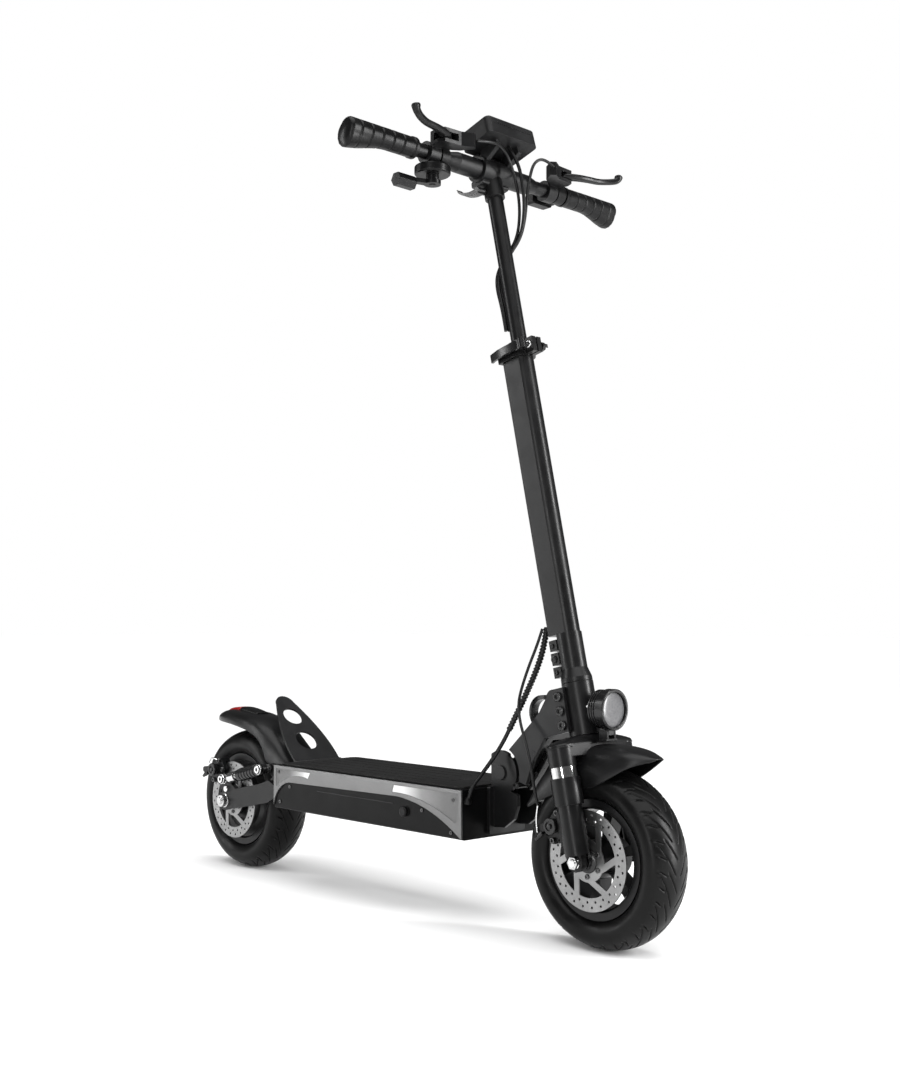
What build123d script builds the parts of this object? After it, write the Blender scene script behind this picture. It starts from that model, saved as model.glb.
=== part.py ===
"""Electric kick scooter with a telescopic folding stem, as an assembly of separate pieces.

Frame: X forward, Y to the rider's left, Z up. The origin is on the ground, midway between the axles.
All lengths are millimetres and all angles degrees.
"""
from build123d import *
import os
from math import cos, sin, radians

os.makedirs("parts", exist_ok=True)

# ---- driving dimensions
wheelbase = 868.0
tyre_diameter = 255.0
tyre_width = 78.8
rim_bead = 78.0            # radius that the tyre bead sits on
rim_flange = 84.0          # radius of the rim flange
rotor_radius = 70.0
rotor_thickness = 2.0
front_rotor_y = -41.4
rear_rotor_y = -48.7
axle_radius = 6.0
running = 0.05             # radial clearance of a running fit

rake = 12.65               # the steering axis leans back by this much
steer_foot_x = 462.3       # where the steering axis meets the ground
head_bottom = 304.5        # heights along the steering axis, from the ground
head_top = 381.0
sleeve_top = 455.0
stem_top = 905.0
bar_height = 1206.0
mast_radius = 12.5
leg_y = 64.0               # half the distance between the fork legs
leg_offset = 4.0           # the legs stand this far ahead of the steering axis

deck_front = 230.0
deck_rear = -246.0
deck_bottom = 135.0
lid_bottom = 205.5
lid_top = 210.0
mat_top = 213.0
tray_half = 89.4
deck_half = 92.2
wall = 4.0

pivot_x, pivot_z = 250.0, 233.0        # fold pivot, just ahead of the deck
swing_x, swing_z = -290.0, 158.0       # pivot of the rear swingarm
shock_front = (-304.5, 196.0)          # fixed eye of the rear shock, x and z
shock_rear = (-421.0, 169.0)           # moving eye of the rear shock
shock_y = 76.0

# ---- places worked out from them
front_x = wheelbase / 2
rear_x = -wheelbase / 2
axle_z = tyre_diameter / 2
tilt_sin, tilt_cos = sin(radians(rake)), cos(radians(rake))
forward = (tilt_cos, 0, tilt_sin)
up_axis = (-tilt_sin, 0, tilt_cos)
stem_side = Plane(origin=(steer_foot_x, 0, 0), x_dir=forward, z_dir=(0, -1, 0))
axle_along = -(front_x - steer_foot_x) * tilt_sin + axle_z * tilt_cos
axle_ahead = (front_x - steer_foot_x) * tilt_cos + axle_z * tilt_sin
front_hub = Plane(origin=(front_x, 0, axle_z), x_dir=(1, 0, 0), z_dir=(0, -1, 0))
rear_hub = Plane(origin=(rear_x, 0, axle_z), x_dir=(1, 0, 0), z_dir=(0, -1, 0))
pivot_side = Plane(origin=(pivot_x, 0, pivot_z), x_dir=(1, 0, 0), z_dir=(0, -1, 0))


def across(height, ahead=0.0, side=0.0):
    """Plane square to the steering axis, at a height along it."""
    x = steer_foot_x - height * tilt_sin + ahead * tilt_cos
    z = height * tilt_cos + ahead * tilt_sin
    return Plane(origin=(x, side, z), x_dir=forward, z_dir=up_axis)


def side(y):
    """Upright plane at a given Y, drawn in X and Z, with its normal to the rider's right."""
    return Plane.XZ.offset(-y)


def bar_plane(y):
    """Plane square to the handlebar, drawn ahead and up in the stem's own tilt."""
    return Plane(origin=across(bar_height, 0, y).origin, x_dir=forward, z_dir=(0, -1, 0))


def save(piece, name):
    """Label one finished piece and write its STEP file."""
    piece.part.label = name
    export_step(piece.part, f"parts/{name}.step")


def hub_section(hub_x):
    """Plane for a wheel's revolved section: across the wheel, then out from its axle."""
    return Plane(origin=(hub_x, 0, axle_z), x_dir=(0, 1, 0), z_dir=(1, 0, 0))


def hub_axis(hub_x):
    return Axis((hub_x, 0, axle_z), (0, 1, 0))


# ======================================================================== wheels

def tyre_section():
    """Hollow tyre section: bead, bulging sidewall and rounded crown, mirrored about the middle."""
    half = tyre_width / 2
    with BuildLine() as section:
        outer = ThreePointArc((27, rim_flange + 0.3), (half, 104), (28, 120))
        ThreePointArc(outer @ 1, (0, tyre_diameter / 2), (-28, 120))
        left = ThreePointArc((-28, 120), (-half, 104), (-27, rim_flange + 0.3))
        bead_left = Polyline(left @ 1, (-26.7, rim_bead), (-19, rim_bead), (-20, 85))
        ThreePointArc(bead_left @ 1, (-32.5, 103), (-22, 113.5))
        ThreePointArc((-22, 113.5), (0, 119), (22, 113.5))
        inner = ThreePointArc((22, 113.5), (32.5, 103), (20, 85))
        Polyline(inner @ 1, (19, rim_bead), (26.7, rim_bead), outer @ 0)
    make_face(section.edges())


with BuildPart() as front_tyre:
    with BuildSketch(hub_section(front_x)):
        tyre_section()
    revolve(axis=hub_axis(front_x))
save(front_tyre, "front_tyre")

with BuildPart() as rear_tyre:
    with BuildSketch(hub_section(rear_x)):
        tyre_section()
    revolve(axis=hub_axis(rear_x))
save(rear_tyre, "rear_tyre")


def rim_barrel():
    """Rim channel: two flanges, the bead seats and a shallow well."""
    with BuildLine() as section:
        Polyline((-30, rim_flange), (-27, rim_flange), (-27, rim_bead), (-14, rim_bead), (-10, 74),
                 (10, 74), (14, rim_bead), (27, rim_bead), (27, rim_flange), (30, rim_flange),
                 (30, 73), (26, 70), (-26, 70), (-30, 73), close=True)
    make_face(section.edges())


spoke_count = 6
with BuildPart() as front_rim:
    with BuildSketch(hub_section(front_x)):
        rim_barrel()
        with Locations((0, 17.0)):
            Rectangle(44, 22 - 2 * running)
        with Locations((-30.5, 17.0)):
            Rectangle(19.8, 22 - 2 * running)
    revolve(axis=hub_axis(front_x))
    with BuildSketch(front_hub) as spoke_sketch:
        with PolarLocations(0, spoke_count, start_angle=18):
            with Locations((49, 0)):
                Trapezoid(18, 46, 84, rotation=90)
    extrude(amount=13, both=True)
    with BuildSketch(front_hub):
        Circle(axle_radius + running)
    extrude(amount=60, both=True, mode=Mode.SUBTRACT)
save(front_rim, "front_rim")

with BuildPart() as rear_motor:
    with BuildSketch(hub_section(rear_x)):
        rim_barrel()
        with BuildLine():
            Polyline((-47.6, axle_radius + running), (-47.6, 24), (-38, 24), (-38, 34), (-27, 56),
                     (-26, 71), (26, 71), (27, 60), (36, 44), (38, 20), (44, 18),
                     (44, axle_radius + running), close=True)
        make_face()
    revolve(axis=hub_axis(rear_x))
save(rear_motor, "rear_motor")

arm_count = 6
rotor_bolts = 6


def rotor_sketch():
    """Brake disc: drilled friction ring, slanted arms and a bolted centre ring."""
    Circle(rotor_radius)
    Circle(51, mode=Mode.SUBTRACT)
    Circle(30)
    with PolarLocations(27, arm_count):
        with Locations(Location((13, 0), 32)):
            Rectangle(40, 9)
    Circle(17.5, mode=Mode.SUBTRACT)
    with PolarLocations(22, rotor_bolts, start_angle=30):
        Circle(2.5, mode=Mode.SUBTRACT)
    with PolarLocations(57, 24):
        Circle(1.8, mode=Mode.SUBTRACT)
    with PolarLocations(64, 24, start_angle=7.5):
        Circle(1.8, mode=Mode.SUBTRACT)


with BuildPart() as front_rotor:
    with BuildSketch(front_hub.offset(-front_rotor_y - rotor_thickness / 2)):
        rotor_sketch()
    extrude(amount=rotor_thickness)
save(front_rotor, "front_rotor")

with BuildPart() as rear_rotor:
    with BuildSketch(rear_hub.offset(-rear_rotor_y - rotor_thickness / 2)):
        rotor_sketch()
    extrude(amount=rotor_thickness)
save(rear_rotor, "rear_rotor")


def axle_and_nuts(hub, half, nut_inner, nut_outer, nut_size):
    """Plain axle with a hexagon nut at each end."""
    with BuildSketch(hub) as rod:
        Circle(axle_radius)
    extrude(rod.sketch, amount=half, both=True)
    for start in (nut_inner, -nut_outer):
        with BuildSketch(hub.offset(start)) as nut:
            RegularPolygon(nut_size, 6)
        extrude(nut.sketch, amount=nut_outer - nut_inner)


with BuildPart() as front_axle:
    axle_and_nuts(front_hub, 76.0, 68.0, 74.5, 9.2)
save(front_axle, "front_axle")

with BuildPart() as rear_axle:
    axle_and_nuts(rear_hub, 82.0, 69.0, 77.0, 11.0)
save(rear_axle, "rear_axle")

# ======================================================================== fork

boss_radius = 19.5
leg_radius = 21.0
slim_radius = 17.4
stanchion_radius = 19.0
leg_top = 247.0
leg_step = 209.0
leg_bottom = 140.0
boss_bottom = 262.0
boss_top = 291.5

bridge_bottom = 275.0      # the crown's bridge clears the tyre at full fork travel
crown_top = 300.0


def crown_plan():
    """Crown seen along the steering axis: two leg bosses bridged by a wide middle."""
    with BuildSketch(mode=Mode.PRIVATE) as plan:
        with Locations((leg_offset, leg_y), (leg_offset, -leg_y)):
            Circle(boss_radius)
        Circle(27)
        make_hull()
    add(plan.sketch_local)


with BuildPart() as fork_crown:
    with BuildSketch(across(bridge_bottom)):
        crown_plan()
    extrude(amount=boss_top - bridge_bottom)
    with BuildSketch(across(boss_bottom)):
        with Locations((leg_offset, leg_y), (leg_offset, -leg_y)):
            Circle(boss_radius)
    extrude(amount=boss_top - boss_bottom)
    with BuildSketch(across(boss_top)):
        Circle(26)
    extrude(amount=crown_top - boss_top, taper=12)
    with BuildSketch(across(crown_top)):
        Circle(20)
    extrude(amount=head_bottom - 0.4 - crown_top)
    with BuildSketch(across(crown_top)):
        Circle(15)
    extrude(amount=sleeve_top - 3 - crown_top)
save(fork_crown, "fork_crown")

with BuildPart() as stanchions:
    for leg_side in (-1, 1):
        with BuildSketch(across(226.0, leg_offset, leg_side * leg_y)):
            Circle(stanchion_radius)
        extrude(amount=boss_bottom - 226.0)
        with BuildSketch(across(172.0, leg_offset, leg_side * leg_y)):
            Circle(8)
        extrude(amount=226.0 - 172.0)
save(stanchions, "stanchions")

with BuildPart() as fork_legs:
    with BuildSketch(across(leg_bottom, leg_offset, -leg_y)):
        Circle(slim_radius)
    extrude(amount=leg_step - leg_bottom)
    with BuildSketch(across(leg_step, leg_offset, -leg_y)):
        Circle(leg_radius)
    extrude(amount=leg_top - leg_step)
    with BuildSketch(stem_side.offset(57)):
        with BuildLine():
            Polyline((-16, 172), (-16, 142), (axle_ahead - 13, axle_along),
                     (axle_ahead + 13, axle_along), (12, 150), (12, 172), close=True)
        make_face()
        with Locations((axle_ahead, axle_along)):
            Circle(13)
            Circle(axle_radius, mode=Mode.SUBTRACT)
    extrude(amount=11)
    with BuildSketch(stem_side.offset(52)):
        with BuildLine():
            Polyline((-12, 152), (-28, 156), (-28, 202), (-12, 206), close=True)
        make_face()
    extrude(amount=8)
    with BuildSketch(across(leg_step + 1.5, leg_offset, -leg_y)):
        Circle(stanchion_radius + running)
    extrude(amount=leg_top - leg_step, mode=Mode.SUBTRACT)
    with BuildSketch(across(150.0, leg_offset, -leg_y)):
        Circle(12)
    extrude(amount=70, mode=Mode.SUBTRACT)
    with BuildSketch(front_hub.offset(56)):
        Circle(axle_radius)
    extrude(amount=14, mode=Mode.SUBTRACT)
    mirror(about=Plane.XZ)
save(fork_legs, "fork_legs")


def caliper(hub, rotor_y, angle, outer_y, inner_y):
    """Two-piece brake caliper around the disc's edge, with a cable arm on its outer face."""
    wide = outer_y - inner_y
    with BuildSketch(hub.offset(inner_y)) as body:
        with PolarLocations(66, 1, start_angle=angle):
            RectangleRounded(32, 46, 7)
    extrude(body.sketch, amount=wide)
    with BuildSketch(hub.offset(-rotor_y - 2.5)) as slot:
        Circle(73)
    extrude(slot.sketch, amount=5, mode=Mode.SUBTRACT)
    with BuildSketch(hub.offset(outer_y)) as cam:
        with PolarLocations(68, 1, start_angle=angle):
            Circle(10)
    extrude(cam.sketch, amount=6)
    with BuildSketch(hub.offset(outer_y + 5)) as arm:
        with PolarLocations(68, 1, start_angle=angle):
            with Locations(Location((8, 10), 60)):
                SlotOverall(42, 11)
    extrude(arm.sketch, amount=4)


with BuildPart() as front_caliper:
    caliper(front_hub, front_rotor_y, 140, 52.0, 33.0)
save(front_caliper, "front_caliper")

with BuildPart() as rear_caliper:
    caliper(rear_hub, rear_rotor_y, 128, 60.0, 41.5)
    with BuildSketch(rear_hub.offset(56.0)):
        with PolarLocations(42, 1, start_angle=128):
            RectangleRounded(56, 18, 5)
    extrude(amount=4)
    with BuildSketch(rear_hub.offset(55.0)):
        Circle(20)
    extrude(amount=6, mode=Mode.SUBTRACT)
save(rear_caliper, "rear_caliper")

# ---- front fender: a hollow beak that rises clear of the tyre
fender_half = 42.4
fender_skin = 2.0


with BuildPart() as front_fender:
    with BuildSketch(Plane.XZ):
        with BuildLine():
            back = ThreePointArc((309, 196), (338, 246), (388, 280))
            top = ThreePointArc(back @ 1, (455, 288), (534, 273))
            Polyline(top @ 1, (527, 268), (503, 260), (478, 246), (438, 226), (373, 212), (318, 189), back @ 0)
        make_face()
    extrude(amount=fender_half, both=True)
    with BuildSketch(Plane.XY.offset(180)):
        with BuildLine():
            nose = ThreePointArc((470, fender_half), (520, 32), (534, 0))
            ThreePointArc(nose @ 1, (520, -32), (470, -fender_half))
            Polyline((470, -fender_half), (300, -fender_half), (300, fender_half), nose @ 0)
        make_face()
    extrude(amount=120, mode=Mode.INTERSECT)
    with BuildSketch(Plane.XZ):
        with BuildLine():
            under = ThreePointArc((300, 180), (336, 243), (388, 277.5))
            beak = ThreePointArc(under @ 1, (455, 285.5), (522, 272.5))
            Polyline(beak @ 1, (560, 262), (560, 150), (300, 150), under @ 0)
        make_face()
    extrude(amount=fender_half - fender_skin, both=True, mode=Mode.SUBTRACT)
    with BuildSketch(across(bridge_bottom - 0.5)):
        crown_plan()
        offset(amount=0.4)
    extrude(amount=60, mode=Mode.SUBTRACT)
save(front_fender, "front_fender")

# ======================================================================== stem

sleeve_radius = 19.0
with BuildPart() as stem_clamp:
    with BuildSketch(stem_side):
        with BuildLine():
            Polyline((15, head_top + 0.6), (23.2, head_top + 0.6), (23.2, 388), (sleeve_radius, 402),
                     (sleeve_radius, sleeve_top), (15, sleeve_top), close=True)
        make_face()
    revolve(axis=Axis((steer_foot_x, 0, 0), up_axis))
    for lug_low, lug_high in ((393, 409), (412, 430), (433, 449)):
        with BuildSketch(across(lug_low)):
            with Locations((-23.5, 0)):
                Rectangle(15, 25)
            Circle(16, mode=Mode.SUBTRACT)
        extrude(amount=lug_high - lug_low)
    with BuildSketch(across(392)):
        with Locations((-24, 0)):
            Rectangle(20, 2)
    extrude(amount=70, mode=Mode.SUBTRACT)
    for bolt_height in (401, 421, 441):
        with BuildSketch(stem_side.offset(12.5)):
            with Locations((-25.5, bolt_height)):
                Circle(4.2 if bolt_height == 421 else 3)
        extrude(amount=1.5)
save(stem_clamp, "stem_clamp")

stem_flat = 15.9
stem_front = 17.3
stem_rear = -29.0


with BuildPart() as lower_stem:
    with BuildSketch(across(sleeve_top)) as lower_section:
        Circle(stem_front)
        with Locations((stem_rear / 2, 0)):
            Rectangle(-stem_rear, 2 * stem_flat)
        with BuildSketch(across(sleeve_top), mode=Mode.INTERSECT):
            Rectangle(70, 2 * stem_flat)
        fillet(lower_section.vertices().sort_by(Axis.X)[:2], 4)
    extrude(amount=stem_top - sleeve_top)
    with BuildSketch(across(sleeve_top - 1)):
        Circle(14.5)
    extrude(amount=stem_top - sleeve_top - 29, mode=Mode.SUBTRACT)
    with BuildSketch(across(stem_top - 40)):
        Circle(mast_radius + running)
    extrude(amount=50, mode=Mode.SUBTRACT)
save(lower_stem, "lower_stem")

collar_low, collar_high = 888.0, 912.0
with BuildPart() as stem_collar:
    with BuildSketch(across(collar_low)) as collar_section:
        Circle(stem_front + 4)
        with Locations((stem_rear / 2 - 2, 0)):
            Rectangle(-stem_rear + 4, 2 * stem_flat + 7)
        with Locations((25, 0)):
            Rectangle(20, 20)
    extrude(amount=collar_high - collar_low)
    with BuildSketch(across(collar_low - 1)) as collar_bore:
        Circle(stem_front)
        with Locations((stem_rear / 2, 0)):
            Rectangle(-stem_rear, 2 * stem_flat)
        with BuildSketch(across(collar_low - 1), mode=Mode.INTERSECT):
            Rectangle(70, 2 * stem_flat)
        fillet(collar_bore.vertices().sort_by(Axis.X)[:2], 4)
    extrude(amount=stem_top - collar_low + 1, mode=Mode.SUBTRACT)
    with BuildSketch(across(stem_top - 1)):
        Circle(mast_radius + 1.5)
    extrude(amount=12, mode=Mode.SUBTRACT)
    with BuildSketch(across(collar_low - 1)):
        with Locations((28, 0)):
            Rectangle(26, 3)
    extrude(amount=40, mode=Mode.SUBTRACT)
    with BuildSketch(stem_side):
        with Locations((28, 900)):
            Circle(3.5)
    extrude(amount=20.5, both=True)
    with BuildSketch(stem_side.offset(-21)):
        with Locations((28, 900)):
            RegularPolygon(7, 6)
    extrude(amount=6)
save(stem_collar, "stem_collar")

# ---- quick-release lever that wraps back along the collar's right side
with BuildPart() as collar_lever:
    with BuildSketch(across(893.0)):
        with BuildLine():
            inner = ThreePointArc((20, -23), (-14, -26.5), (-42, -21))
            outer = ThreePointArc((-42, -25.5), (-14, -31.5), (20, -30))
            Line(inner @ 1, outer @ 0)
            Line(outer @ 1, inner @ 0)
        make_face()
    extrude(amount=13)
    with BuildSketch(across(891.5)):
        with Locations((28, -27)):
            Circle(6)
            with BuildSketch(across(891.5)):
                with Locations((22, -26.5)):
                    Rectangle(12, 7)
    extrude(amount=16)
save(collar_lever, "collar_lever")

tee_radius = 21.0
mast_bottom = 690.0
with BuildPart() as upper_stem:
    with BuildSketch(across(mast_bottom)):
        Circle(mast_radius)
        Circle(mast_radius - 2.5, mode=Mode.SUBTRACT)
    extrude(amount=bar_height - 16 - mast_bottom)
    with BuildSketch(bar_plane(0)):
        Circle(tee_radius)
    extrude(amount=31, both=True)
    with BuildSketch(across(bar_height - 45)):
        Circle(16)
    extrude(amount=35)
    with BuildSketch(bar_plane(0)):
        with Locations((-6, -20), (-6, 20)):
            RectangleRounded(26, 12, 4)
    extrude(amount=29, both=True)
    with BuildSketch(bar_plane(0)):
        Circle(15.9)
    extrude(amount=60, both=True, mode=Mode.SUBTRACT)
save(upper_stem, "upper_stem")

bar_half = 290.0
with BuildPart() as handlebar:
    bar_axis_x = across(bar_height).origin.X
    bar_axis_z = across(bar_height).origin.Z
    with BuildSketch(Plane(origin=(bar_axis_x, 0, bar_axis_z), x_dir=(0, 1, 0), z_dir=(1, 0, 0))):
        with BuildLine():
            Polyline((-bar_half, 0), (-bar_half, 11.1), (-98, 11.1), (-78, 15.9), (78, 15.9), (98, 11.1),
                     (bar_half, 11.1), (bar_half, 0), close=True)
        make_face()
    revolve(axis=Axis((bar_axis_x, 0, bar_axis_z), (0, 1, 0)))
save(handlebar, "handlebar")

grip_inner, grip_outer = 166.0, 296.0
with BuildPart() as grips:
    with BuildSketch(bar_plane(-grip_inner)):
        Circle(16)
    extrude(amount=grip_outer - grip_inner)
    with BuildSketch(bar_plane(-grip_outer + 26)):
        with Locations((-6, -5)):
            SlotOverall(46, 26, rotation=40)
    extrude(amount=24)
    with BuildSketch(bar_plane(-grip_inner + 1)):
        Circle(11.1)
    extrude(amount=bar_half - grip_inner + 1, mode=Mode.SUBTRACT)
    mirror(about=Plane.XZ)
save(grips, "grips")

# ---- brake levers
lever_pivot = (232.0, 130.0)           # x and y of each lever's pivot
lever_low, lever_high = 1188.0, 1198.0

with BuildPart() as lever_mounts:
    with BuildSketch(bar_plane(-122)):
        Circle(17)
        Circle(11.1, mode=Mode.SUBTRACT)
    extrude(amount=20)
    with BuildSketch(Plane.XY.offset(lever_low - 6)):
        with BuildLine():
            Polyline((213, -144), (213, -121), (229, -97), (250, -84), (256, -92), (246, -110),
                     (244, -142), (232, -147), close=True)
        make_face()
    extrude(amount=lever_high - lever_low + 12)
    with BuildSketch(Plane.XY.offset(lever_low - 0.4)):
        with BuildLine():
            Polyline((222, -160), (222, -128), (232, -118), (262, -112), (262, -160), close=True)
        make_face()
    extrude(amount=lever_high - lever_low + 0.8, mode=Mode.SUBTRACT)
    with BuildSketch(Plane.XY.offset(lever_low - 6)):
        with Locations((lever_pivot[0], -lever_pivot[1])):
            Circle(3)
    extrude(amount=lever_high - lever_low + 12)
    mirror(about=Plane.XZ)
save(lever_mounts, "lever_mounts")


def lever_blade():
    """Curved brake lever for the rider's right hand, from its pivot eye to the ball at its tip."""
    with BuildSketch(Plane.XY.offset(lever_low)) as blade:
        with BuildLine():
            front_edge = Spline((240, -124), (258, -150), (262, -185), (276, -222))
            Line(front_edge @ 1, (268, -226))
            rear_edge = Spline((268, -226), (253, -188), (248, -156), (228, -138))
            Line(rear_edge @ 1, (225, -126))
            Line((225, -126), front_edge @ 0)
        make_face()
        with Locations((272, -225)):
            Circle(7)
        with Locations((lever_pivot[0], -lever_pivot[1])):
            Circle(7)
            Circle(3 + running, mode=Mode.SUBTRACT)
    extrude(blade.sketch, amount=lever_high - lever_low)


with BuildPart() as brake_lever_right:
    lever_blade()
save(brake_lever_right, "brake_lever_right")

with BuildPart() as brake_lever_left:
    add(mirror(brake_lever_right.part, about=Plane.XZ, mode=Mode.PRIVATE))
save(brake_lever_left, "brake_lever_left")

# ---- thumb throttle under the bar, on the rider's right
throttle_x, throttle_y = 196.0, -124.0
drum_low, drum_high = 1145.0, 1159.0
paddle_low = 1130.0
throttle_neck_x, throttle_neck_top = 200.0, 1164.0       # short neck from the drum up to the clamp ring
with BuildPart() as throttle_body:
    with BuildSketch(Plane.XY.offset(drum_low)):
        with Locations((throttle_x, throttle_y)):
            Circle(28)
    extrude(amount=drum_high - drum_low)
    with BuildSketch(bar_plane(-102)):
        Circle(16)
        Circle(11.1, mode=Mode.SUBTRACT)
    extrude(amount=16)
    with BuildSketch(Plane.XY.offset(drum_high - 1)):
        with Locations((throttle_neck_x, -110)):
            Rectangle(16, 12)
    extrude(amount=throttle_neck_top - drum_high + 1)
    with BuildSketch(Plane.XY.offset(paddle_low + 7)):
        with Locations((throttle_x, throttle_y)):
            Circle(10)
    extrude(amount=drum_low - paddle_low - 7)
    with BuildSketch(Plane.XY.offset(paddle_low - 1)):
        with Locations((throttle_x, throttle_y)):
            Circle(5)
    extrude(amount=8)
    fillet(throttle_body.edges().filter_by(GeomType.CIRCLE).filter_by(
        lambda edge: abs(edge.radius - 28) < 0.1), 3)
save(throttle_body, "throttle_body")

with BuildPart() as throttle_paddle:
    with BuildSketch(Plane.XY.offset(paddle_low)):
        with Locations((throttle_x, throttle_y)):
            Circle(13)
        with BuildLine():
            Polyline((throttle_x - 8, throttle_y), (throttle_x + 6, throttle_y), (190, -156),
                     (178, -156), close=True)
        make_face()
        with Locations((throttle_x, throttle_y)):
            Circle(5 + running, mode=Mode.SUBTRACT)
    extrude(amount=6.5)
    with BuildSketch(Plane(origin=(184, -154, paddle_low - 2), x_dir=(1, 0, 0), z_dir=(0, -1, 0))):
        RegularPolygon(11, 6)
    extrude(amount=34)
save(throttle_paddle, "throttle_paddle")

# ---- switch box on the rider's left, with two buttons on its rear face
box_rear = 164.0
horn_y, light_y = 128.0, 146.0
button_z = 1176.0
with BuildPart() as switch_box:
    with BuildSketch(bar_plane(163.5)):
        Circle(16)
        Circle(11.1, mode=Mode.SUBTRACT)
    extrude(amount=18)
    with BuildSketch(Plane.YZ.offset(box_rear)):
        with Locations((140, button_z)):
            RectangleRounded(46, 32, 5)
    extrude(amount=16)
    with BuildSketch(Plane.YZ.offset(box_rear + 10)):
        with Locations((154.5, button_z)):
            Rectangle(17, 24)
    extrude(amount=12)
    with BuildSketch(Plane.YZ.offset(box_rear)):
        for button_y in (horn_y, light_y):
            with Locations((button_y, button_z)):
                Circle(5.3)
    extrude(amount=6, mode=Mode.SUBTRACT)
save(switch_box, "switch_box")


def push_button(y):
    """Round push button that stands 3 mm proud of the switch box."""
    with BuildSketch(Plane.YZ.offset(box_rear - 3)) as cap:
        with Locations((y, button_z)):
            Circle(5)
    extrude(cap.sketch, amount=6.5)


with BuildPart() as horn_button:
    push_button(horn_y)
save(horn_button, "horn_button")

with BuildPart() as light_button:
    push_button(light_y)
save(light_button, "light_button")

# ---- handlebar clamp lever below the tee
with BuildPart() as bar_lever:
    with BuildSketch(bar_plane(-17)):
        with Locations((-6, -34)):
            Circle(5.5)
    extrude(amount=17)
    with BuildSketch(bar_plane(-20)):
        with BuildLine():
            upper = ThreePointArc((-6, -28.8), (-26, -28), (-50, -12))
            lower = ThreePointArc((-48, -19), (-27, -34.5), (-6, -39.4))
            Line(upper @ 1, lower @ 0)
            Line(lower @ 1, upper @ 0)
        make_face()
    extrude(amount=12)
save(bar_lever, "bar_lever")

# ---- display on its bracket
display_tilt = 16.0
display_plane = Plane(origin=(216, 0, 1225), x_dir=(cos(radians(display_tilt)), 0, sin(radians(display_tilt))),
                      z_dir=(-sin(radians(display_tilt)), 0, cos(radians(display_tilt))))
case_half = 15.0
screen_seat = 12.5
with BuildPart() as display_case:
    with BuildSketch(display_plane.offset(-case_half)):
        RectangleRounded(66, 108, 9)
    extrude(amount=2 * case_half)
    fillet(display_case.faces().sort_by(Axis.Z)[-1].edges(), 4)
    with BuildSketch(display_plane.offset(screen_seat)):
        RectangleRounded(46, 86, 4)
    extrude(amount=10, mode=Mode.SUBTRACT)
    for arm_y in (-24, 24):
        with BuildSketch(side(arm_y + 4)):
            with BuildLine():
                Polyline((200, 1190), (212, 1186), (240, 1206), (236, 1222), (206, 1214), close=True)
            make_face()
        extrude(amount=8)
    with BuildSketch(bar_plane(0)):
        Circle(tee_radius + 0.01)
    extrude(amount=31, both=True, mode=Mode.SUBTRACT)
save(display_case, "display_case")

with BuildPart() as display_screen:
    with BuildSketch(display_plane.offset(screen_seat)):
        RectangleRounded(46, 86, 4)
    extrude(amount=1.8)
save(display_screen, "display_screen")

# ======================================================================== neck and fold

cheek_inner, cheek_outer = 23.3, 29.0
plate_inner, plate_outer = 23.6, 30.0
cheek_radius = 33.4
plate_gap_radius = 40.0
core_half = 22.8
lock_angle = -27.0                     # direction of the upright lock notch from the pivot
lock_radius = 35.0                     # where the latch bar sits when it is locked
bar_ride = 37.8                        # where the bar rides while the stem folds


def around_pivot(radius, angle):
    return (pivot_x + radius * cos(radians(angle)), pivot_z + radius * sin(radians(angle)))


with BuildPart() as fold_bracket:
    with BuildSketch(side(-cheek_inner)):
        with BuildLine():
            Polyline((deck_front, 150), (258, 152), (278, 166), (286, 186), (285, 203), (270, 207),
                     (deck_front, 240), close=True)
        make_face()
        with Locations((pivot_x, pivot_z)):
            Circle(cheek_radius)
        with Locations((deck_front - 50, pivot_z)):
            Rectangle(100, 120, mode=Mode.SUBTRACT)
        for notch_angle in (lock_angle, lock_angle + 80):
            with Locations(around_pivot(lock_radius, notch_angle)):
                Circle(4.6, mode=Mode.SUBTRACT)
        with Locations((pivot_x, pivot_z)):
            Circle(6, mode=Mode.SUBTRACT)
    extrude(amount=cheek_outer - cheek_inner)
    mirror(about=Plane.XZ)
    with BuildSketch(Plane.YZ.offset(deck_front)):
        with Locations((0, 176)):
            RectangleRounded(76, 72, 4)
    extrude(amount=6)
    with BuildSketch(side(31.5)):
        with Locations((pivot_x, pivot_z)):
            Circle(6)
    pin = extrude(amount=63, mode=Mode.PRIVATE)
    with BuildSketch(side(-cheek_outer)):
        with Locations((pivot_x, pivot_z)):
            Circle(11)
            Circle(6, mode=Mode.SUBTRACT)
    extrude(amount=2.5)
    with BuildSketch(side(cheek_outer + 2.5)):
        with Locations((pivot_x, pivot_z)):
            Circle(11)
            Circle(6, mode=Mode.SUBTRACT)
    extrude(amount=2.5)
    add(pin)
save(fold_bracket, "fold_bracket")

bolt_heights = (322.0, 343.0, 364.0)
bolt_ahead = -15.0


def neck_outline():
    """Neck plate outline: concave end around the pivot, straight top, front edge along the head tube."""
    top_start = around_pivot(plate_gap_radius, 63)
    low_start = around_pivot(plate_gap_radius, -14)
    with BuildLine() as outline:
        rise = Polyline(top_start, (314, 311), (331, 328), (345, 350))
        ThreePointArc(rise @ 1, (348.5, 358), (357, 362))
        Polyline((357, 362), (376, 366), (389, 303), (360, 296), (341, 290), (318, 256), (303, 219),
                 low_start)
        ThreePointArc(low_start, around_pivot(plate_gap_radius, 20), top_start)
    make_face(outline.edges())


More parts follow.
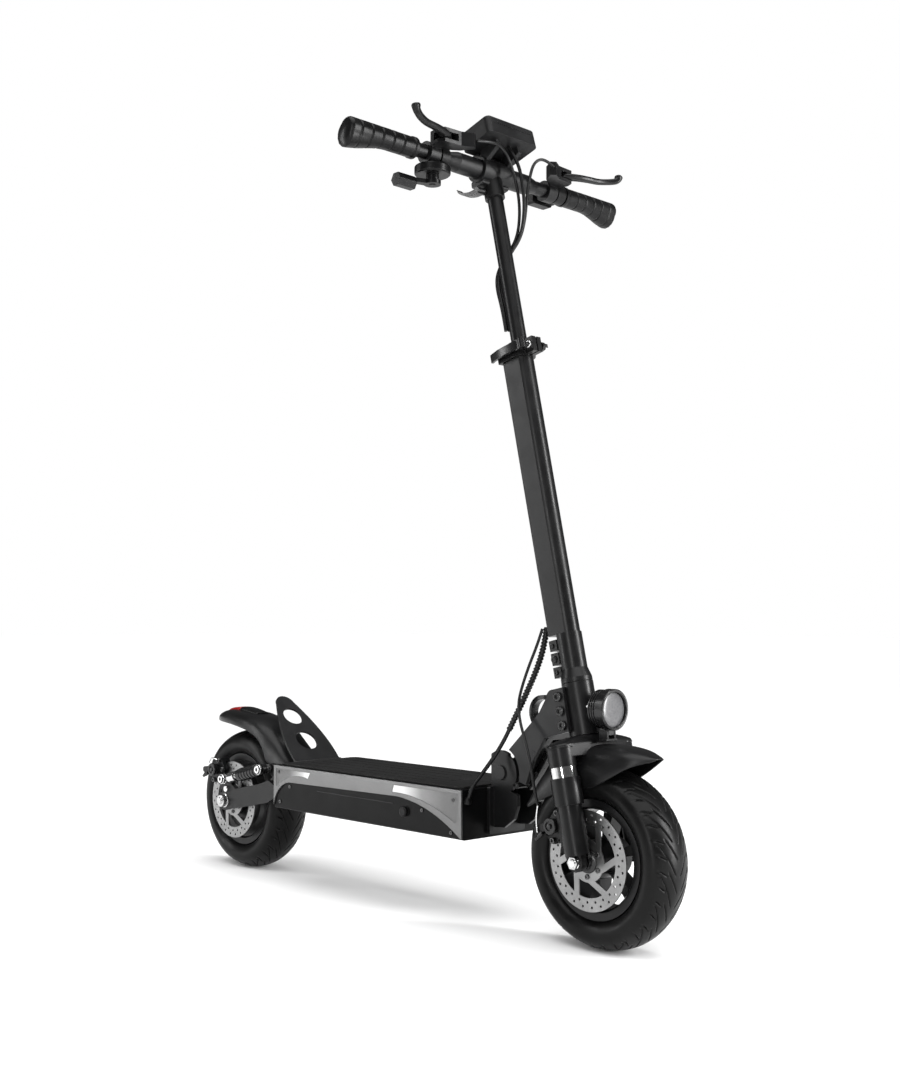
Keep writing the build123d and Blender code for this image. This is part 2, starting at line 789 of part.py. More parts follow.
with BuildPart() as neck_plates:
    with BuildSketch(side(-plate_inner)):
        neck_outline()
        with Locations((320.2, 268.3)):
            Circle(3, mode=Mode.SUBTRACT)
    extrude(amount=plate_outer - plate_inner)
    with BuildSketch(stem_side.offset(plate_outer)):
        with Locations(*[(bolt_ahead, height) for height in bolt_heights]):
            RegularPolygon(6, 24)
            Circle(2.6, mode=Mode.SUBTRACT)
    extrude(amount=3)
    mirror(about=Plane.XZ)
save(neck_plates, "neck_plates")

with BuildPart() as head_tube:
    with BuildSketch(across(head_bottom)):
        Circle(23.5)
    extrude(amount=head_top - head_bottom)
    with BuildSketch(across(head_bottom)):
        Circle(18)
    extrude(amount=head_top - head_bottom, mode=Mode.SUBTRACT)
    for ring_low in (head_bottom, head_top - 10):
        with BuildSketch(across(ring_low)):
            Circle(18)
            Circle(15 + running, mode=Mode.SUBTRACT)
        extrude(amount=10)
save(head_tube, "head_tube")

with BuildPart() as neck_core:
    with BuildSketch(Plane.XZ):
        with BuildLine():
            Polyline((262, 246), (312, 302), (334, 325), (352, 348), (372, 352), (384, 312), (352, 300),
                     (322, 268), (300, 236), (262, 224), close=True)
        make_face()
        with Locations((pivot_x, pivot_z)):
            Circle(17)
            Circle(6 + running, mode=Mode.SUBTRACT)
        with Locations((320.2, 268.3)):
            Circle(3, mode=Mode.SUBTRACT)
    extrude(amount=core_half, both=True)
    with BuildSketch(across(290)):
        Circle(23.5)
    extrude(amount=110, mode=Mode.SUBTRACT)
    with BuildSketch(side(9.5)):
        with BuildLine():
            Polyline((270, 200), (276, 240), (300, 262), (302, 320), (330, 350), (344, 320), (336, 262),
                     (310, 200), close=True)
        make_face()
    extrude(amount=19, mode=Mode.SUBTRACT)
    with BuildSketch(side(40)):
        with Locations(around_pivot(42, lock_angle)):
            Rectangle(34, 20, rotation=lock_angle)
    extrude(amount=80, mode=Mode.SUBTRACT)
    with BuildSketch(side(plate_outer)):
        with Locations((320.2, 268.3)):
            Circle(3)
    extrude(amount=2 * plate_outer)
save(neck_core, "neck_core")

with BuildPart() as latch_lever:
    with BuildSketch(side(6)):
        with BuildLine():
            Polyline((283, 212), (290, 209), (327, 262), (328, 274), (322, 300), (324, 306), (316, 306),
                     (313, 298), (312, 270), close=True)
        make_face()
        with BuildLine():
            loop_out = ThreePointArc((320, 300), (288, 330), (318, 351))
            Line(loop_out @ 1, (319, 345))
            loop_in = ThreePointArc((319, 345), (296, 329), (323, 306))
            Line(loop_in @ 1, loop_out @ 0)
        make_face()
        with Locations((320.2, 268.3)):
            Circle(3 + running, mode=Mode.SUBTRACT)
    extrude(amount=12)
    with BuildSketch(side(cheek_outer)):
        with Locations(around_pivot(bar_ride, lock_angle)):
            Circle(4)
    extrude(amount=2 * cheek_outer)
save(latch_lever, "latch_lever")

# ---- headlight on a bracket ahead of the head tube
light_x, light_z = 418.0, 336.0
lens_seat = 27.0
light_plane = Plane(origin=(light_x, 0, light_z), x_dir=(0, 1, 0), z_dir=(1, 0, 0))
tilt_screw = (436.0, 303.0)
with BuildPart() as headlight_housing:
    with BuildSketch(light_plane):
        Circle(17)
    extrude(amount=5)
    with BuildSketch(light_plane.offset(4)):
        Circle(24.5)
    extrude(amount=16)
    for fin in range(4):
        with BuildSketch(light_plane.offset(4.5 + 4.0 * fin)):
            Circle(28)
        extrude(amount=2.2)
    with BuildSketch(light_plane.offset(20)):
        Circle(29.5)
    extrude(amount=12)
    with BuildSketch(light_plane.offset(lens_seat)):
        Circle(25)
    extrude(amount=6, mode=Mode.SUBTRACT)
    with BuildSketch(side(6)):
        with BuildLine():
            Polyline((428, 318), (429, 300), (436, 297), (443, 300), (444, 318), close=True)
        make_face()
        with Locations(tilt_screw):
            Circle(3 + running, mode=Mode.SUBTRACT)
    extrude(amount=12)
save(headlight_housing, "headlight_housing")

with BuildPart() as headlight_lens:
    with BuildSketch(light_plane.offset(lens_seat)):
        Circle(25)
    extrude(amount=3)
save(headlight_lens, "headlight_lens")

with BuildPart() as headlight_bracket:
    with BuildSketch(side(12)):
        with BuildLine():
            Polyline((417, 276), (421, 276), (423, 288), (444, 292), (444, 295), (417, 290), close=True)
        make_face()
    extrude(amount=24)
    with BuildSketch(across(bridge_bottom - 5)):
        crown_plan()
    extrude(amount=40, mode=Mode.SUBTRACT)
    for ear_y in (9.6, -6.4):
        with BuildSketch(side(ear_y)):
            with BuildLine():
                Polyline((428, 291), (444, 293), (443, 306), (429, 306), close=True)
            make_face()
        extrude(amount=3.2)
    with BuildSketch(side(9.6)):
        with Locations(tilt_screw):
            Circle(3)
    extrude(amount=19.2)
save(headlight_bracket, "headlight_bracket")

# ======================================================================== deck

deck_middle = (deck_front + deck_rear) / 2
deck_length = deck_front - deck_rear
port_x, port_z = 100.0, 165.0
stand_x, stand_z = 30.0, 126.0         # kickstand pivot, under the deck's left edge

with BuildPart() as deck_tray:
    with BuildSketch(Plane.XY.offset(deck_bottom)):
        with Locations((deck_middle, 0)):
            Rectangle(deck_length, 2 * tray_half)
    extrude(amount=lid_bottom - deck_bottom)
    fillet(deck_tray.edges().filter_by(Axis.X).group_by(Axis.Z)[0], 5)
    with BuildSketch(Plane.XY.offset(deck_bottom + wall)):
        with Locations((deck_middle, 0)):
            Rectangle(deck_length - 2 * wall, 2 * (tray_half - wall))
    extrude(amount=100, mode=Mode.SUBTRACT)
    with BuildSketch(side(-tray_half + wall)):
        with Locations((port_x, port_z)):
            Circle(9)
    extrude(amount=wall + 1, mode=Mode.SUBTRACT)
    for ear_y in (91.4, 69.4):
        with BuildSketch(side(ear_y)):
            with BuildLine():
                Polyline((stand_x - 12, deck_bottom), (stand_x - 6, stand_z - 6), (stand_x + 6, stand_z - 6),
                         (stand_x + 12, deck_bottom), close=True)
            make_face()
        extrude(amount=3)
    with BuildSketch(side(91.4)):
        with Locations((stand_x, stand_z)):
            Circle(4)
    extrude(amount=25)
save(deck_tray, "deck_tray")

with BuildPart() as deck_lid:
    with BuildSketch(Plane.XY.offset(lid_bottom)):
        with Locations((deck_middle, 0)):
            Rectangle(deck_length, 2 * tray_half)
    extrude(amount=lid_top - lid_bottom)
    chamfer(deck_lid.edges().group_by(Axis.Z)[-1], 1)
save(deck_lid, "deck_lid")

mat_half = 82.0
with BuildPart() as grip_mat:
    with BuildSketch(Plane.XY.offset(lid_top)):
        with Locations((deck_middle + 1, 0)):
            RectangleRounded(deck_length - 20, 2 * mat_half, 10)
    extrude(amount=mat_top - lid_top)
    with BuildSketch(Plane.XY.offset(mat_top - 1.4)):
        for groove_y in (-62, -38, -14, 14, 38, 62):
            with Locations((deck_middle - 38, groove_y)):
                Rectangle(330, 3)
        for cross_x in (-224, 149):
            with Locations((cross_x, 0)):
                Rectangle(4, 74)
    extrude(amount=4, mode=Mode.SUBTRACT)
save(grip_mat, "grip_mat")


def trim_outline():
    """Side trim: a band under the lid that sweeps down to the deck's bottom at both ends."""
    with BuildLine() as outline:
        rear = ThreePointArc((deck_rear, 141), (-232, 168), (-198, 183))
        Line(rear @ 1, (84, 187))
        sweep_down = ThreePointArc((84, 187), (160, 172), (deck_front - 2, deck_bottom + 3))
        Polyline(sweep_down @ 1, (deck_front, deck_bottom + 3), (deck_front, lid_top - 0.6),
                 (deck_rear, lid_top - 0.6), rear @ 0)
    make_face(outline.edges())


def front_lamp_outline():
    """Leaf-shaped lens in the front end of the trim."""
    with BuildLine() as outline:
        under = ThreePointArc((72, 193), (152, 184), (216, 160))
        Polyline(under @ 1, (223, 165), (224, 204), (76, 204), under @ 0)
    make_face(outline.edges())


def rear_lamp_outline():
    """Shorter leaf-shaped lens in the rear end of the trim."""
    with BuildLine() as outline:
        under = ThreePointArc((-239, 173), (-212, 188), (-148, 193.5))
        Polyline(under @ 1, (-142, 204), (-240, 204), under @ 0)
    make_face(outline.edges())


trim_skin = deck_half - tray_half
with BuildPart() as side_trims:
    with BuildSketch(side(-tray_half)):
        trim_outline()
    extrude(amount=trim_skin)
    with BuildSketch(side(-tray_half)):
        front_lamp_outline()
        rear_lamp_outline()
    extrude(amount=trim_skin, mode=Mode.SUBTRACT)
    mirror(about=Plane.XZ)
save(side_trims, "side_trims")

with BuildPart() as side_lamps:
    with BuildSketch(side(-tray_half)):
        front_lamp_outline()
        rear_lamp_outline()
    extrude(amount=trim_skin - 0.5)
    mirror(about=Plane.XZ)
save(side_lamps, "side_lamps")

with BuildPart() as deck_screws:
    for screw_x, screw_z, seat in ((-202, 175.5, tray_half), (-230, 147.5, tray_half), (140, 171, tray_half),
                                   (206, 144.5, tray_half), (212, 194, deck_half - 0.5),
                                   (-232, 199, deck_half - 0.5)):
        with BuildSketch(side(-seat)):
            with Locations((screw_x, screw_z)):
                Circle(2.8)
                RegularPolygon(1.4, 6, mode=Mode.SUBTRACT)
        extrude(amount=1.4)
    mirror(about=Plane.XZ)
save(deck_screws, "deck_screws")

with BuildPart() as charge_port:
    with BuildSketch(side(-tray_half + wall)):
        with Locations((port_x, port_z)):
            Circle(9)
    extrude(amount=wall)
    with BuildSketch(side(-tray_half)):
        with Locations((port_x, port_z)):
            Circle(8)
    extrude(amount=6)
    fillet(charge_port.edges().sort_by(Axis.Y)[0], 2.5)
save(charge_port, "charge_port")

with BuildPart() as battery_pack:
    with BuildSketch(Plane.XY.offset(deck_bottom + wall)):
        with Locations((10, 0)):
            RectangleRounded(330, 150, 6)
    extrude(amount=58)
save(battery_pack, "battery_pack")

with BuildPart() as controller:
    with BuildSketch(Plane.XY.offset(deck_bottom + wall)):
        with Locations((-196, 0)):
            RectangleRounded(68, 110, 4)
    extrude(amount=38)
    for fin_y in range(-45, 50, 15):
        with BuildSketch(Plane.XY.offset(deck_bottom + wall + 38)):
            with Locations((-196, fin_y)):
                Rectangle(64, 5)
        extrude(amount=8)
save(controller, "controller")

with BuildPart() as kickstand:
    with BuildSketch(side(88)):
        with Locations((stand_x, stand_z)):
            Circle(8)
            Circle(4 + running, mode=Mode.SUBTRACT)
    extrude(amount=14)
    with BuildSketch(side(86)):
        with BuildLine():
            Polyline((24, 131), (22, 119), (-90, 112), (-100, 117), (-90, 123.5), close=True)
        make_face()
        with Locations((stand_x, stand_z)):
            Circle(6, mode=Mode.SUBTRACT)
    extrude(amount=10)
save(kickstand, "kickstand")

# ======================================================================== rear end

with BuildPart() as rear_bracket:
    with BuildSketch(Plane.YZ.offset(deck_rear - 12)):
        with Locations((0, 172)):
            RectangleRounded(140, 64, 5)
    extrude(amount=12)
    with BuildSketch(side(-52)):
        with BuildLine():
            Polyline((deck_rear - 12, 142), (-292, 142), (-307, 152), (-307, 172), (-296, 182), (-311, 189),
                     (-313, 200), (-304, 205), (-290, 204), (deck_rear - 12, 200), close=True)
        make_face()
        with Locations((swing_x, swing_z)):
            Circle(14 + running, mode=Mode.SUBTRACT)
        with Locations(shock_front):
            Circle(5, mode=Mode.SUBTRACT)
    extrude(amount=7.5)
    with BuildSketch(side(-51)):
        with Locations(shock_front):
            Circle(5)
    extrude(amount=38)
    with BuildSketch(side(-85)):
        with Locations(shock_front):
            Circle(8)
    extrude(amount=4)
    mirror(about=Plane.XZ)
save(rear_bracket, "rear_bracket")

arm_inner, arm_outer = 60.0, 69.0
with BuildPart() as swingarm:
    with BuildSketch(side(-arm_inner)):
        with BuildLine():
            Polyline((-274, 148), (-300, 136), (-370, 122), (-434, 110), (-452, 127), (-434, 146),
                     (-428, 160), (-414, 160), (-400, 152), (-330, 166), (-296, 176), (-276, 168), close=True)
        make_face()
        with Locations((rear_x, axle_z)):
            Circle(18)
        with Locations(shock_rear):
            Circle(10.5)
        with Locations((rear_x, axle_z)):
            Circle(axle_radius, mode=Mode.SUBTRACT)
    extrude(amount=arm_outer - arm_inner)
    with BuildSketch(side(-arm_outer)):
        with Locations(shock_rear):
            Circle(5)
    extrude(amount=16)
    with BuildSketch(side(-arm_outer - 16)):
        with Locations(shock_rear):
            Circle(8)
    extrude(amount=4)
    mirror(about=Plane.XZ)
    with BuildSketch(side(0)):
        with Locations((swing_x, swing_z)):
            Circle(14)
            Circle(10, mode=Mode.SUBTRACT)
    extrude(amount=arm_inner, both=True)
save(swingarm, "swingarm")

# ---- shocks: an eye and a body on the bracket, a rod on the swingarm
shock_dx = shock_rear[0] - shock_front[0]
shock_dz = shock_rear[1] - shock_front[1]
shock_length = (shock_dx ** 2 + shock_dz ** 2) ** 0.5
shock_dir = (shock_dx / shock_length, 0, shock_dz / shock_length)


def on_shock(distance, y):
    """Plane square to the shock, at a distance from its fixed eye."""
    return Plane(origin=(shock_front[0] + shock_dir[0] * distance, y, shock_front[1] + shock_dir[2] * distance),
                 x_dir=(0, 1, 0), z_dir=shock_dir)


with BuildPart() as shock_bodies:
    with BuildSketch(side(-shock_y + 5.5)):
        with Locations(shock_front):
            Circle(9)
    extrude(amount=9)
    with BuildSketch(on_shock(8.3, -shock_y)):
        Circle(11)
    extrude(amount=64.7)
    for ring in range(6):
        with BuildSketch(on_shock(16 + 9 * ring, -shock_y)):
            Circle(12)
        extrude(amount=3)
    with BuildSketch(side(-shock_y + 12)):
        with Locations(shock_front):
            Circle(5 + running)
    extrude(amount=24, mode=Mode.SUBTRACT)
    with BuildSketch(on_shock(40, -shock_y)):
        Circle(6.5)
    extrude(amount=40, mode=Mode.SUBTRACT)
    mirror(about=Plane.XZ)
save(shock_bodies, "shock_bodies")

with BuildPart() as shock_rods:
    with BuildSketch(side(-shock_y + 5.5)):
        with Locations(shock_rear):
            Circle(9)
    extrude(amount=9)
    with BuildSketch(on_shock(52, -shock_y)):
        Circle(5)
    extrude(amount=shock_length - 52 - 6)
    with BuildSketch(on_shock(84, -shock_y)):
        Circle(9.5)
    extrude(amount=20)
    with BuildSketch(side(-shock_y + 12)):
        with Locations(shock_rear):
            Circle(5 + running)
    extrude(amount=24, mode=Mode.SUBTRACT)
    mirror(about=Plane.XZ)
save(shock_rods, "shock_rods")

# ---- rear fender: U section over the tyre, from the deck to a raised tail
rear_fender_half = 45.0
with BuildPart() as rear_fender:
    with BuildSketch(Plane.XZ):
        with BuildLine():
            over = ThreePointArc((deck_rear - 12, 204), (-345, 263), (-430, 289))
            tail = ThreePointArc(over @ 1, (-490, 292), (-548, 270))
            lip = Polyline(tail @ 1, (-536, 262), (-500, 270), (-447, 264))
            ThreePointArc(lip @ 1, (-372, 246), (-338, 204))
            Line((-338, 204), over @ 0)
        make_face()
    extrude(amount=rear_fender_half, both=True)
    with BuildSketch(Plane.XY.offset(180)):
        with BuildLine():
            tail_end = ThreePointArc((-500, rear_fender_half), (-538, 26), (-549, 0))
            ThreePointArc(tail_end @ 1, (-538, -26), (-500, -rear_fender_half))
            Polyline((-500, -rear_fender_half), (-200, -rear_fender_half), (-200, rear_fender_half),
                     tail_end @ 0)
        make_face()
    extrude(amount=140, mode=Mode.INTERSECT)
    with BuildSketch(Plane.XZ):
        with BuildLine():
            under = ThreePointArc((-262, 190), (-344, 259), (-430, 286))
            tail = ThreePointArc(under @ 1, (-490, 288.5), (-541, 268))
            Polyline(tail @ 1, (-560, 250), (-560, 150), (-262, 150), under @ 0)
        make_face()
    extrude(amount=rear_fender_half - fender_skin, both=True, mode=Mode.SUBTRACT)
save(rear_fender, "rear_fender")

with BuildPart() as tail_light:
    with BuildSketch(Plane.XZ):
        with BuildLine():
            seat = ThreePointArc((-507, 287.2), (-462, 291.6), (-416, 286.6))
            crown = ThreePointArc((-416, 286.6), (-462, 296), (-507, 290))
            Line(crown @ 1, seat @ 0)
        make_face()
    extrude(amount=14, both=True)
    with BuildSketch(Plane.XZ):
        with BuildLine():
            over = ThreePointArc((deck_rear - 12, 204), (-345, 263), (-430, 289))
            tail = ThreePointArc(over @ 1, (-490, 292), (-548, 270))
            Polyline(tail @ 1, (-548, 150), (deck_rear - 12, 150), over @ 0)
        make_face()
    extrude(amount=30, both=True, mode=Mode.SUBTRACT)
save(tail_light, "tail_light")

# ---- foot plate: a leaning shield with two holes, bolted to the deck's rear edge
lean = 46.0
plate_plane = Plane(origin=(deck_rear + 2, 0, lid_top), x_dir=(0, 1, 0),
                    z_dir=(cos(radians(lean)), 0, sin(radians(lean))))
with BuildPart() as foot_plate:
    with BuildSketch(plate_plane):
        with BuildLine():
            right = Spline((49, 0), (47, 45), (34, 100), (19, 140))
            top = ThreePointArc(right @ 1, (0, 156), (-19, 140))
            left = Spline((-19, 140), (-34, 100), (-47, 45), (-49, 0))
            Line(left @ 1, right @ 0)
        make_face()
        with Locations((0, 47)):
            Circle(21, mode=Mode.SUBTRACT)
        with Locations((0, 106)):
            Circle(19, mode=Mode.SUBTRACT)
    extrude(amount=4)
    with BuildSketch(Plane.XY.offset(lid_top)):
        with Locations((deck_rear + 5, 0)):
            Rectangle(10, 98)
    extrude(amount=4)
save(foot_plate, "foot_plate")

# ======================================================================== cables


def cable(points, diameter, radii):
    """Round cable along straight runs joined by tangent arcs."""
    with BuildLine() as path:
        FilletPolyline(*points, radius=radii)
    with BuildSketch(Plane(origin=path.line @ 0, z_dir=path.line % 0)) as section:
        Circle(diameter / 2)
    sweep(section.sketch, path=path.line)


def bend_radii(points):
    """Each arc takes 0.45 of its shorter run, divided by the tangent of half its turn."""
    radii = []
    for before, corner, after in zip(points, points[1:], points[2:]):
        run_in = Vector(*corner) - Vector(*before)
        run_out = Vector(*after) - Vector(*corner)
        half_turn = radians(run_in.get_angle(run_out) / 2)
        radii.append(0.45 * min(run_in.length, run_out.length) * cos(half_turn) / sin(half_turn))
    print("bend radii:", [round(value, 1) for value in radii])
    return radii


bar_cable_points = [(262, -70, 1192), (258, -38, 1198), (250, -8, 1190), (250, 12, 1160), (252, 20, 1120),
                    (246, 22, 1080), (226, 19, 1046), (204, 8, 1012), (206, -6, 976), (222, -10, 940),
                    (236, -11, 918)]
with BuildPart() as bar_cables:
    cable(bar_cable_points, 6.0, bend_radii(bar_cable_points))
save(bar_cables, "bar_cables")

harness_points = [(326, -5, 450), (320, -6, 424), (306, -9, 388), (290, -15, 352), (276, -24, 318),
                  (264, -34, 284), (250, -42, 256), (236, -50, 234), (226, -58, 216)]
with BuildPart() as main_harness:
    cable(harness_points, 8.0, bend_radii(harness_points))
save(main_harness, "main_harness")

brake_cable_points = [(324, -14, 452), (306, -24, 400), (300, -36, 350), (310, -46, 310), (330, -56, 272),
                      (344, -62, 236), (352, -62, 204)]
with BuildPart() as front_brake_cable:
    cable(brake_cable_points, 5.0, bend_radii(brake_cable_points))
save(front_brake_cable, "front_brake_cable")
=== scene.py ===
"""Looks for the electric kick scooter: materials, detailed pieces, floor, light and camera."""

from math import atan2, cos, hypot, pi, radians, sin

import bmesh
import bpy
import numpy as np
from mathutils import Matrix, Vector


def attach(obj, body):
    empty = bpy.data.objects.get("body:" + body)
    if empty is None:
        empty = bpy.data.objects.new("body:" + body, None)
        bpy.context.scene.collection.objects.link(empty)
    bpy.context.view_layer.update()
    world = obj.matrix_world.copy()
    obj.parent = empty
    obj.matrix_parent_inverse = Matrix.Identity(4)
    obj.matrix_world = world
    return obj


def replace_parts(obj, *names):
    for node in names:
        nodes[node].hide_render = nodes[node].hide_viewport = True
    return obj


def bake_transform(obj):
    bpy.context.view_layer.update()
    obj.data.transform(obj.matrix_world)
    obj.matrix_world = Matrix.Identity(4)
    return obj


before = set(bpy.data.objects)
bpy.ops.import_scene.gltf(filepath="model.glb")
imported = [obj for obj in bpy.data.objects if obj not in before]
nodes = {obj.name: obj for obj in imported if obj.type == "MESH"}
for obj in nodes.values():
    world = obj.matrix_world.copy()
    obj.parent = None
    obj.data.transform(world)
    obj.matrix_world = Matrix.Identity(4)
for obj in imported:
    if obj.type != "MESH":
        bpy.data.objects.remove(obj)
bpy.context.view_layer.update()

# ---- places, in metres, in the row frame
rake = radians(12.65)
steer_foot = Vector((0.4623, 0, 0))
up_axis = Vector((-sin(rake), 0, cos(rake)))
forward_axis = Vector((cos(rake), 0, sin(rake)))
front_hub = Vector((0.434, 0, 0.1275))
rear_hub = Vector((-0.434, 0, 0.1275))
bar_height = 1.206


def on_stem(height, ahead=0.0, side=0.0):
    """A point at a height along the steering axis, some way ahead of it and to the left."""
    return steer_foot + up_axis * height + forward_axis * ahead + Vector((0, side, 0))


bar_centre = on_stem(bar_height)

# ======================================================================== camera


def add_camera():
    """Camera low on the scooter's right front, looking along the deck."""
    azimuth, pitch, roll = radians(47.02), radians(3.83), radians(0.19)
    view = Vector((-sin(azimuth) * cos(pitch), cos(azimuth) * cos(pitch), sin(pitch)))
    right = Vector((cos(azimuth), sin(azimuth), 0))
    up = right.cross(view)
    right_rolled = right * cos(roll) + up * sin(roll)
    up_rolled = up * cos(roll) - right * sin(roll)
    data = bpy.data.cameras.new("camera")
    data.lens = 44.6
    data.clip_start = 0.05
    camera = bpy.data.objects.new("camera", data)
    bpy.context.scene.collection.objects.link(camera)
    turn = Matrix((right_rolled, up_rolled, -view)).transposed().to_4x4()
    camera.matrix_world = Matrix.Translation((1.674, -1.462, 0.459)) @ turn
    bpy.context.scene.camera = camera


add_camera()

# ======================================================================== materials


class Shader:
    """One Principled material and short helpers for its nodes."""

    def __init__(self, name):
        self.material = bpy.data.materials.new(name)
        self.material.use_nodes = True
        self.tree = self.material.node_tree
        self.bsdf = self.tree.nodes["Principled BSDF"]
        self.coords = self.node("ShaderNodeTexCoord").outputs["Object"]

    def node(self, kind, **values):
        made = self.tree.nodes.new(kind)
        for key, value in values.items():
            if key in made.inputs:
                made.inputs[key].default_value = value
            else:
                setattr(made, key, value)
        return made

    def link(self, source, target):
        self.tree.links.new(source, target)

    def set(self, **values):
        for key, value in values.items():
            self.bsdf.inputs[key.replace("_", " ")].default_value = value

    def noise(self, scale, detail=4.0, coords=None):
        made = self.node("ShaderNodeTexNoise", Scale=scale, Detail=detail)
        self.link(coords or self.coords, made.inputs["Vector"])
        return made.outputs["Fac"]

    def ramp(self, value, stops):
        made = self.node("ShaderNodeValToRGB")
        bar = made.color_ramp
        bar.elements[0].position = stops[0][0]
        bar.elements[0].color = stops[0][1]
        bar.elements[1].position = stops[-1][0]
        bar.elements[1].color = stops[-1][1]
        for position, colour in stops[1:-1]:
            bar.elements.new(position).color = colour
        self.link(value, made.inputs["Fac"])
        return made.outputs["Color"]

    def grey(self, value, low, high, start=0.35, end=0.65):
        """Maps a value to a range of plain numbers."""
        made = self.node("ShaderNodeMapRange")
        made.inputs["From Min"].default_value = start
        made.inputs["From Max"].default_value = end
        made.inputs["To Min"].default_value = low
        made.inputs["To Max"].default_value = high
        self.link(value, made.inputs["Value"])
        return made.outputs["Result"]

    def bump(self, heights, edge=0.0):
        """Chains (height, strength, distance) bumps; edge rounds sharp edges by that radius."""
        normal = None
        if edge:
            bevel = self.node("ShaderNodeBevel", samples=4)
            bevel.inputs["Radius"].default_value = edge
            normal = bevel.outputs["Normal"]
        for height, strength, distance in heights:
            made = self.node("ShaderNodeBump")
            made.inputs["Strength"].default_value = strength
            made.inputs["Distance"].default_value = distance
            self.link(height, made.inputs["Height"])
            if normal:
                self.link(normal, made.inputs["Normal"])
            normal = made.outputs["Normal"]
        self.link(normal, self.bsdf.inputs["Normal"])

    def colour(self, socket):
        self.link(socket, self.bsdf.inputs["Base Color"])

    def rough(self, socket):
        self.link(socket, self.bsdf.inputs["Roughness"])


def tone(value, tint=1.0):
    return (value, value, value * tint, 1)


def coat(name, base, rough, grain, strength, metallic=0.0, specular=0.5, edge=0.0008, spread=0.3):
    """Painted or moulded surface: cloudy tone, fine grain and slightly uneven gloss."""
    made = Shader(name)
    cloud = made.noise(9.0, 5.0)
    low, high = tone(base * (1 - spread), 1.03), tone(base * (1 + spread), 1.06)
    made.colour(made.ramp(cloud, [(0.3, low), (0.7, high)]))
    smudge = made.noise(38.0, 6.0)
    made.rough(made.grey(smudge, rough * 0.86, rough * 1.14))
    made.set(Metallic=metallic, Specular_IOR_Level=specular)
    made.bump([(made.noise(grain, 2.0), strength, 0.0002)], edge)
    return made.material


def steel(name, base, rough, hub=None, edge=0.0004):
    """Bare steel; with a hub, it is brushed in circles about that axle."""
    made = Shader(name)
    made.set(Metallic=1.0)
    if hub is not None:
        shift = made.node("ShaderNodeVectorMath", operation="SUBTRACT")
        shift.inputs[1].default_value = (hub.x, 0, hub.z)
        made.link(made.coords, shift.inputs[0])
        flat = made.node("ShaderNodeVectorMath", operation="MULTIPLY")
        flat.inputs[1].default_value = (1, 0, 1)
        made.link(shift.outputs[0], flat.inputs[0])
        away = made.node("ShaderNodeVectorMath", operation="LENGTH")
        made.link(flat.outputs[0], away.inputs[0])
        join = made.node("ShaderNodeCombineXYZ")
        made.link(away.outputs["Value"], join.inputs["X"])
        lines = made.noise(2600.0, 3.0, join.outputs[0])
    else:
        lines = made.noise(700.0, 4.0)
    cloud = made.noise(30.0, 5.0)
    made.colour(made.ramp(cloud, [(0.3, tone(base * 0.85)), (0.7, tone(base * 1.12))]))
    made.rough(made.grey(lines, rough * 0.75, rough * 1.3, 0.3, 0.7))
    made.bump([(lines, 0.12, 0.0001)], edge)
    return made.material


def tyre_rubber():
    """Tyre rubber: deep black, with uneven gloss and a fine grain."""
    made = Shader("tyre_rubber")
    cloud = made.noise(24.0, 6.0)
    made.colour(made.ramp(cloud, [(0.25, tone(0.0024)), (0.75, tone(0.005))]))
    made.rough(made.grey(made.noise(60.0, 5.0), 0.3, 0.4))
    made.set(Specular_IOR_Level=0.13)
    made.bump([(made.noise(1400.0, 2.0), 0.08, 0.0002)])
    return made.material


def lamp_strip():
    """Deck lamp lens with a painted highlight: white where the light sits, fading through grey to ribbed
    grey.
    """
    made = Shader("lamp_strip")
    split = made.node("ShaderNodeSeparateXYZ")
    made.link(made.coords, split.inputs[0])
    along = made.grey(split.outputs["X"], 0.0, 1.0, -0.25, 0.25)
    white = tone(0.9)
    # painted highlight: the white band and its graded grey fades along the strip stand in for light on the
    # lens
    made.colour(made.ramp(along, [(0.0, tone(0.1)), (0.10, tone(0.12)), (0.135, tone(0.3)),
                                  (0.17, tone(0.55)), (0.2, white),
                                  (0.3, white), (0.64, white), (0.7, tone(0.75)), (0.78, tone(0.24)),
                                  (0.88, tone(0.12)), (1.0, tone(0.08))]))
    wave = made.node("ShaderNodeTexWave", Scale=240.0, Distortion=0.0)
    slant = made.node("ShaderNodeMapping")
    slant.inputs["Rotation"].default_value = (0, radians(24), 0)
    made.link(made.coords, slant.inputs["Vector"])
    made.link(slant.outputs["Vector"], wave.inputs["Vector"])
    made.set(Roughness=0.28, Specular_IOR_Level=0.5, Coat_Weight=0.4, Coat_Roughness=0.12)
    made.bump([(wave.outputs["Fac"], 0.5, 0.0006)], 0.0006)
    return made.material


def frosted(name, base, rough, ring_scale, glow=0.0):
    """Lens moulding: tinted clear coat over fine optic rings."""
    made = Shader(name)
    cell = made.node("ShaderNodeTexVoronoi", Scale=ring_scale)
    made.link(made.coords, cell.inputs["Vector"])
    low = tuple(value * 0.8 for value in base) + (1,)
    high = tuple(value * 1.15 for value in base) + (1,)
    made.colour(made.ramp(cell.outputs["Distance"], [(0.1, low), (0.6, high)]))
    made.set(Roughness=rough, Specular_IOR_Level=0.35, Coat_Weight=0.25, Coat_Roughness=0.1)
    if glow:
        made.set(Emission_Color=base + (1,), Emission_Strength=glow)
    made.bump([(cell.outputs["Distance"], 0.15, 0.0005)], 0.0006)
    return made.material


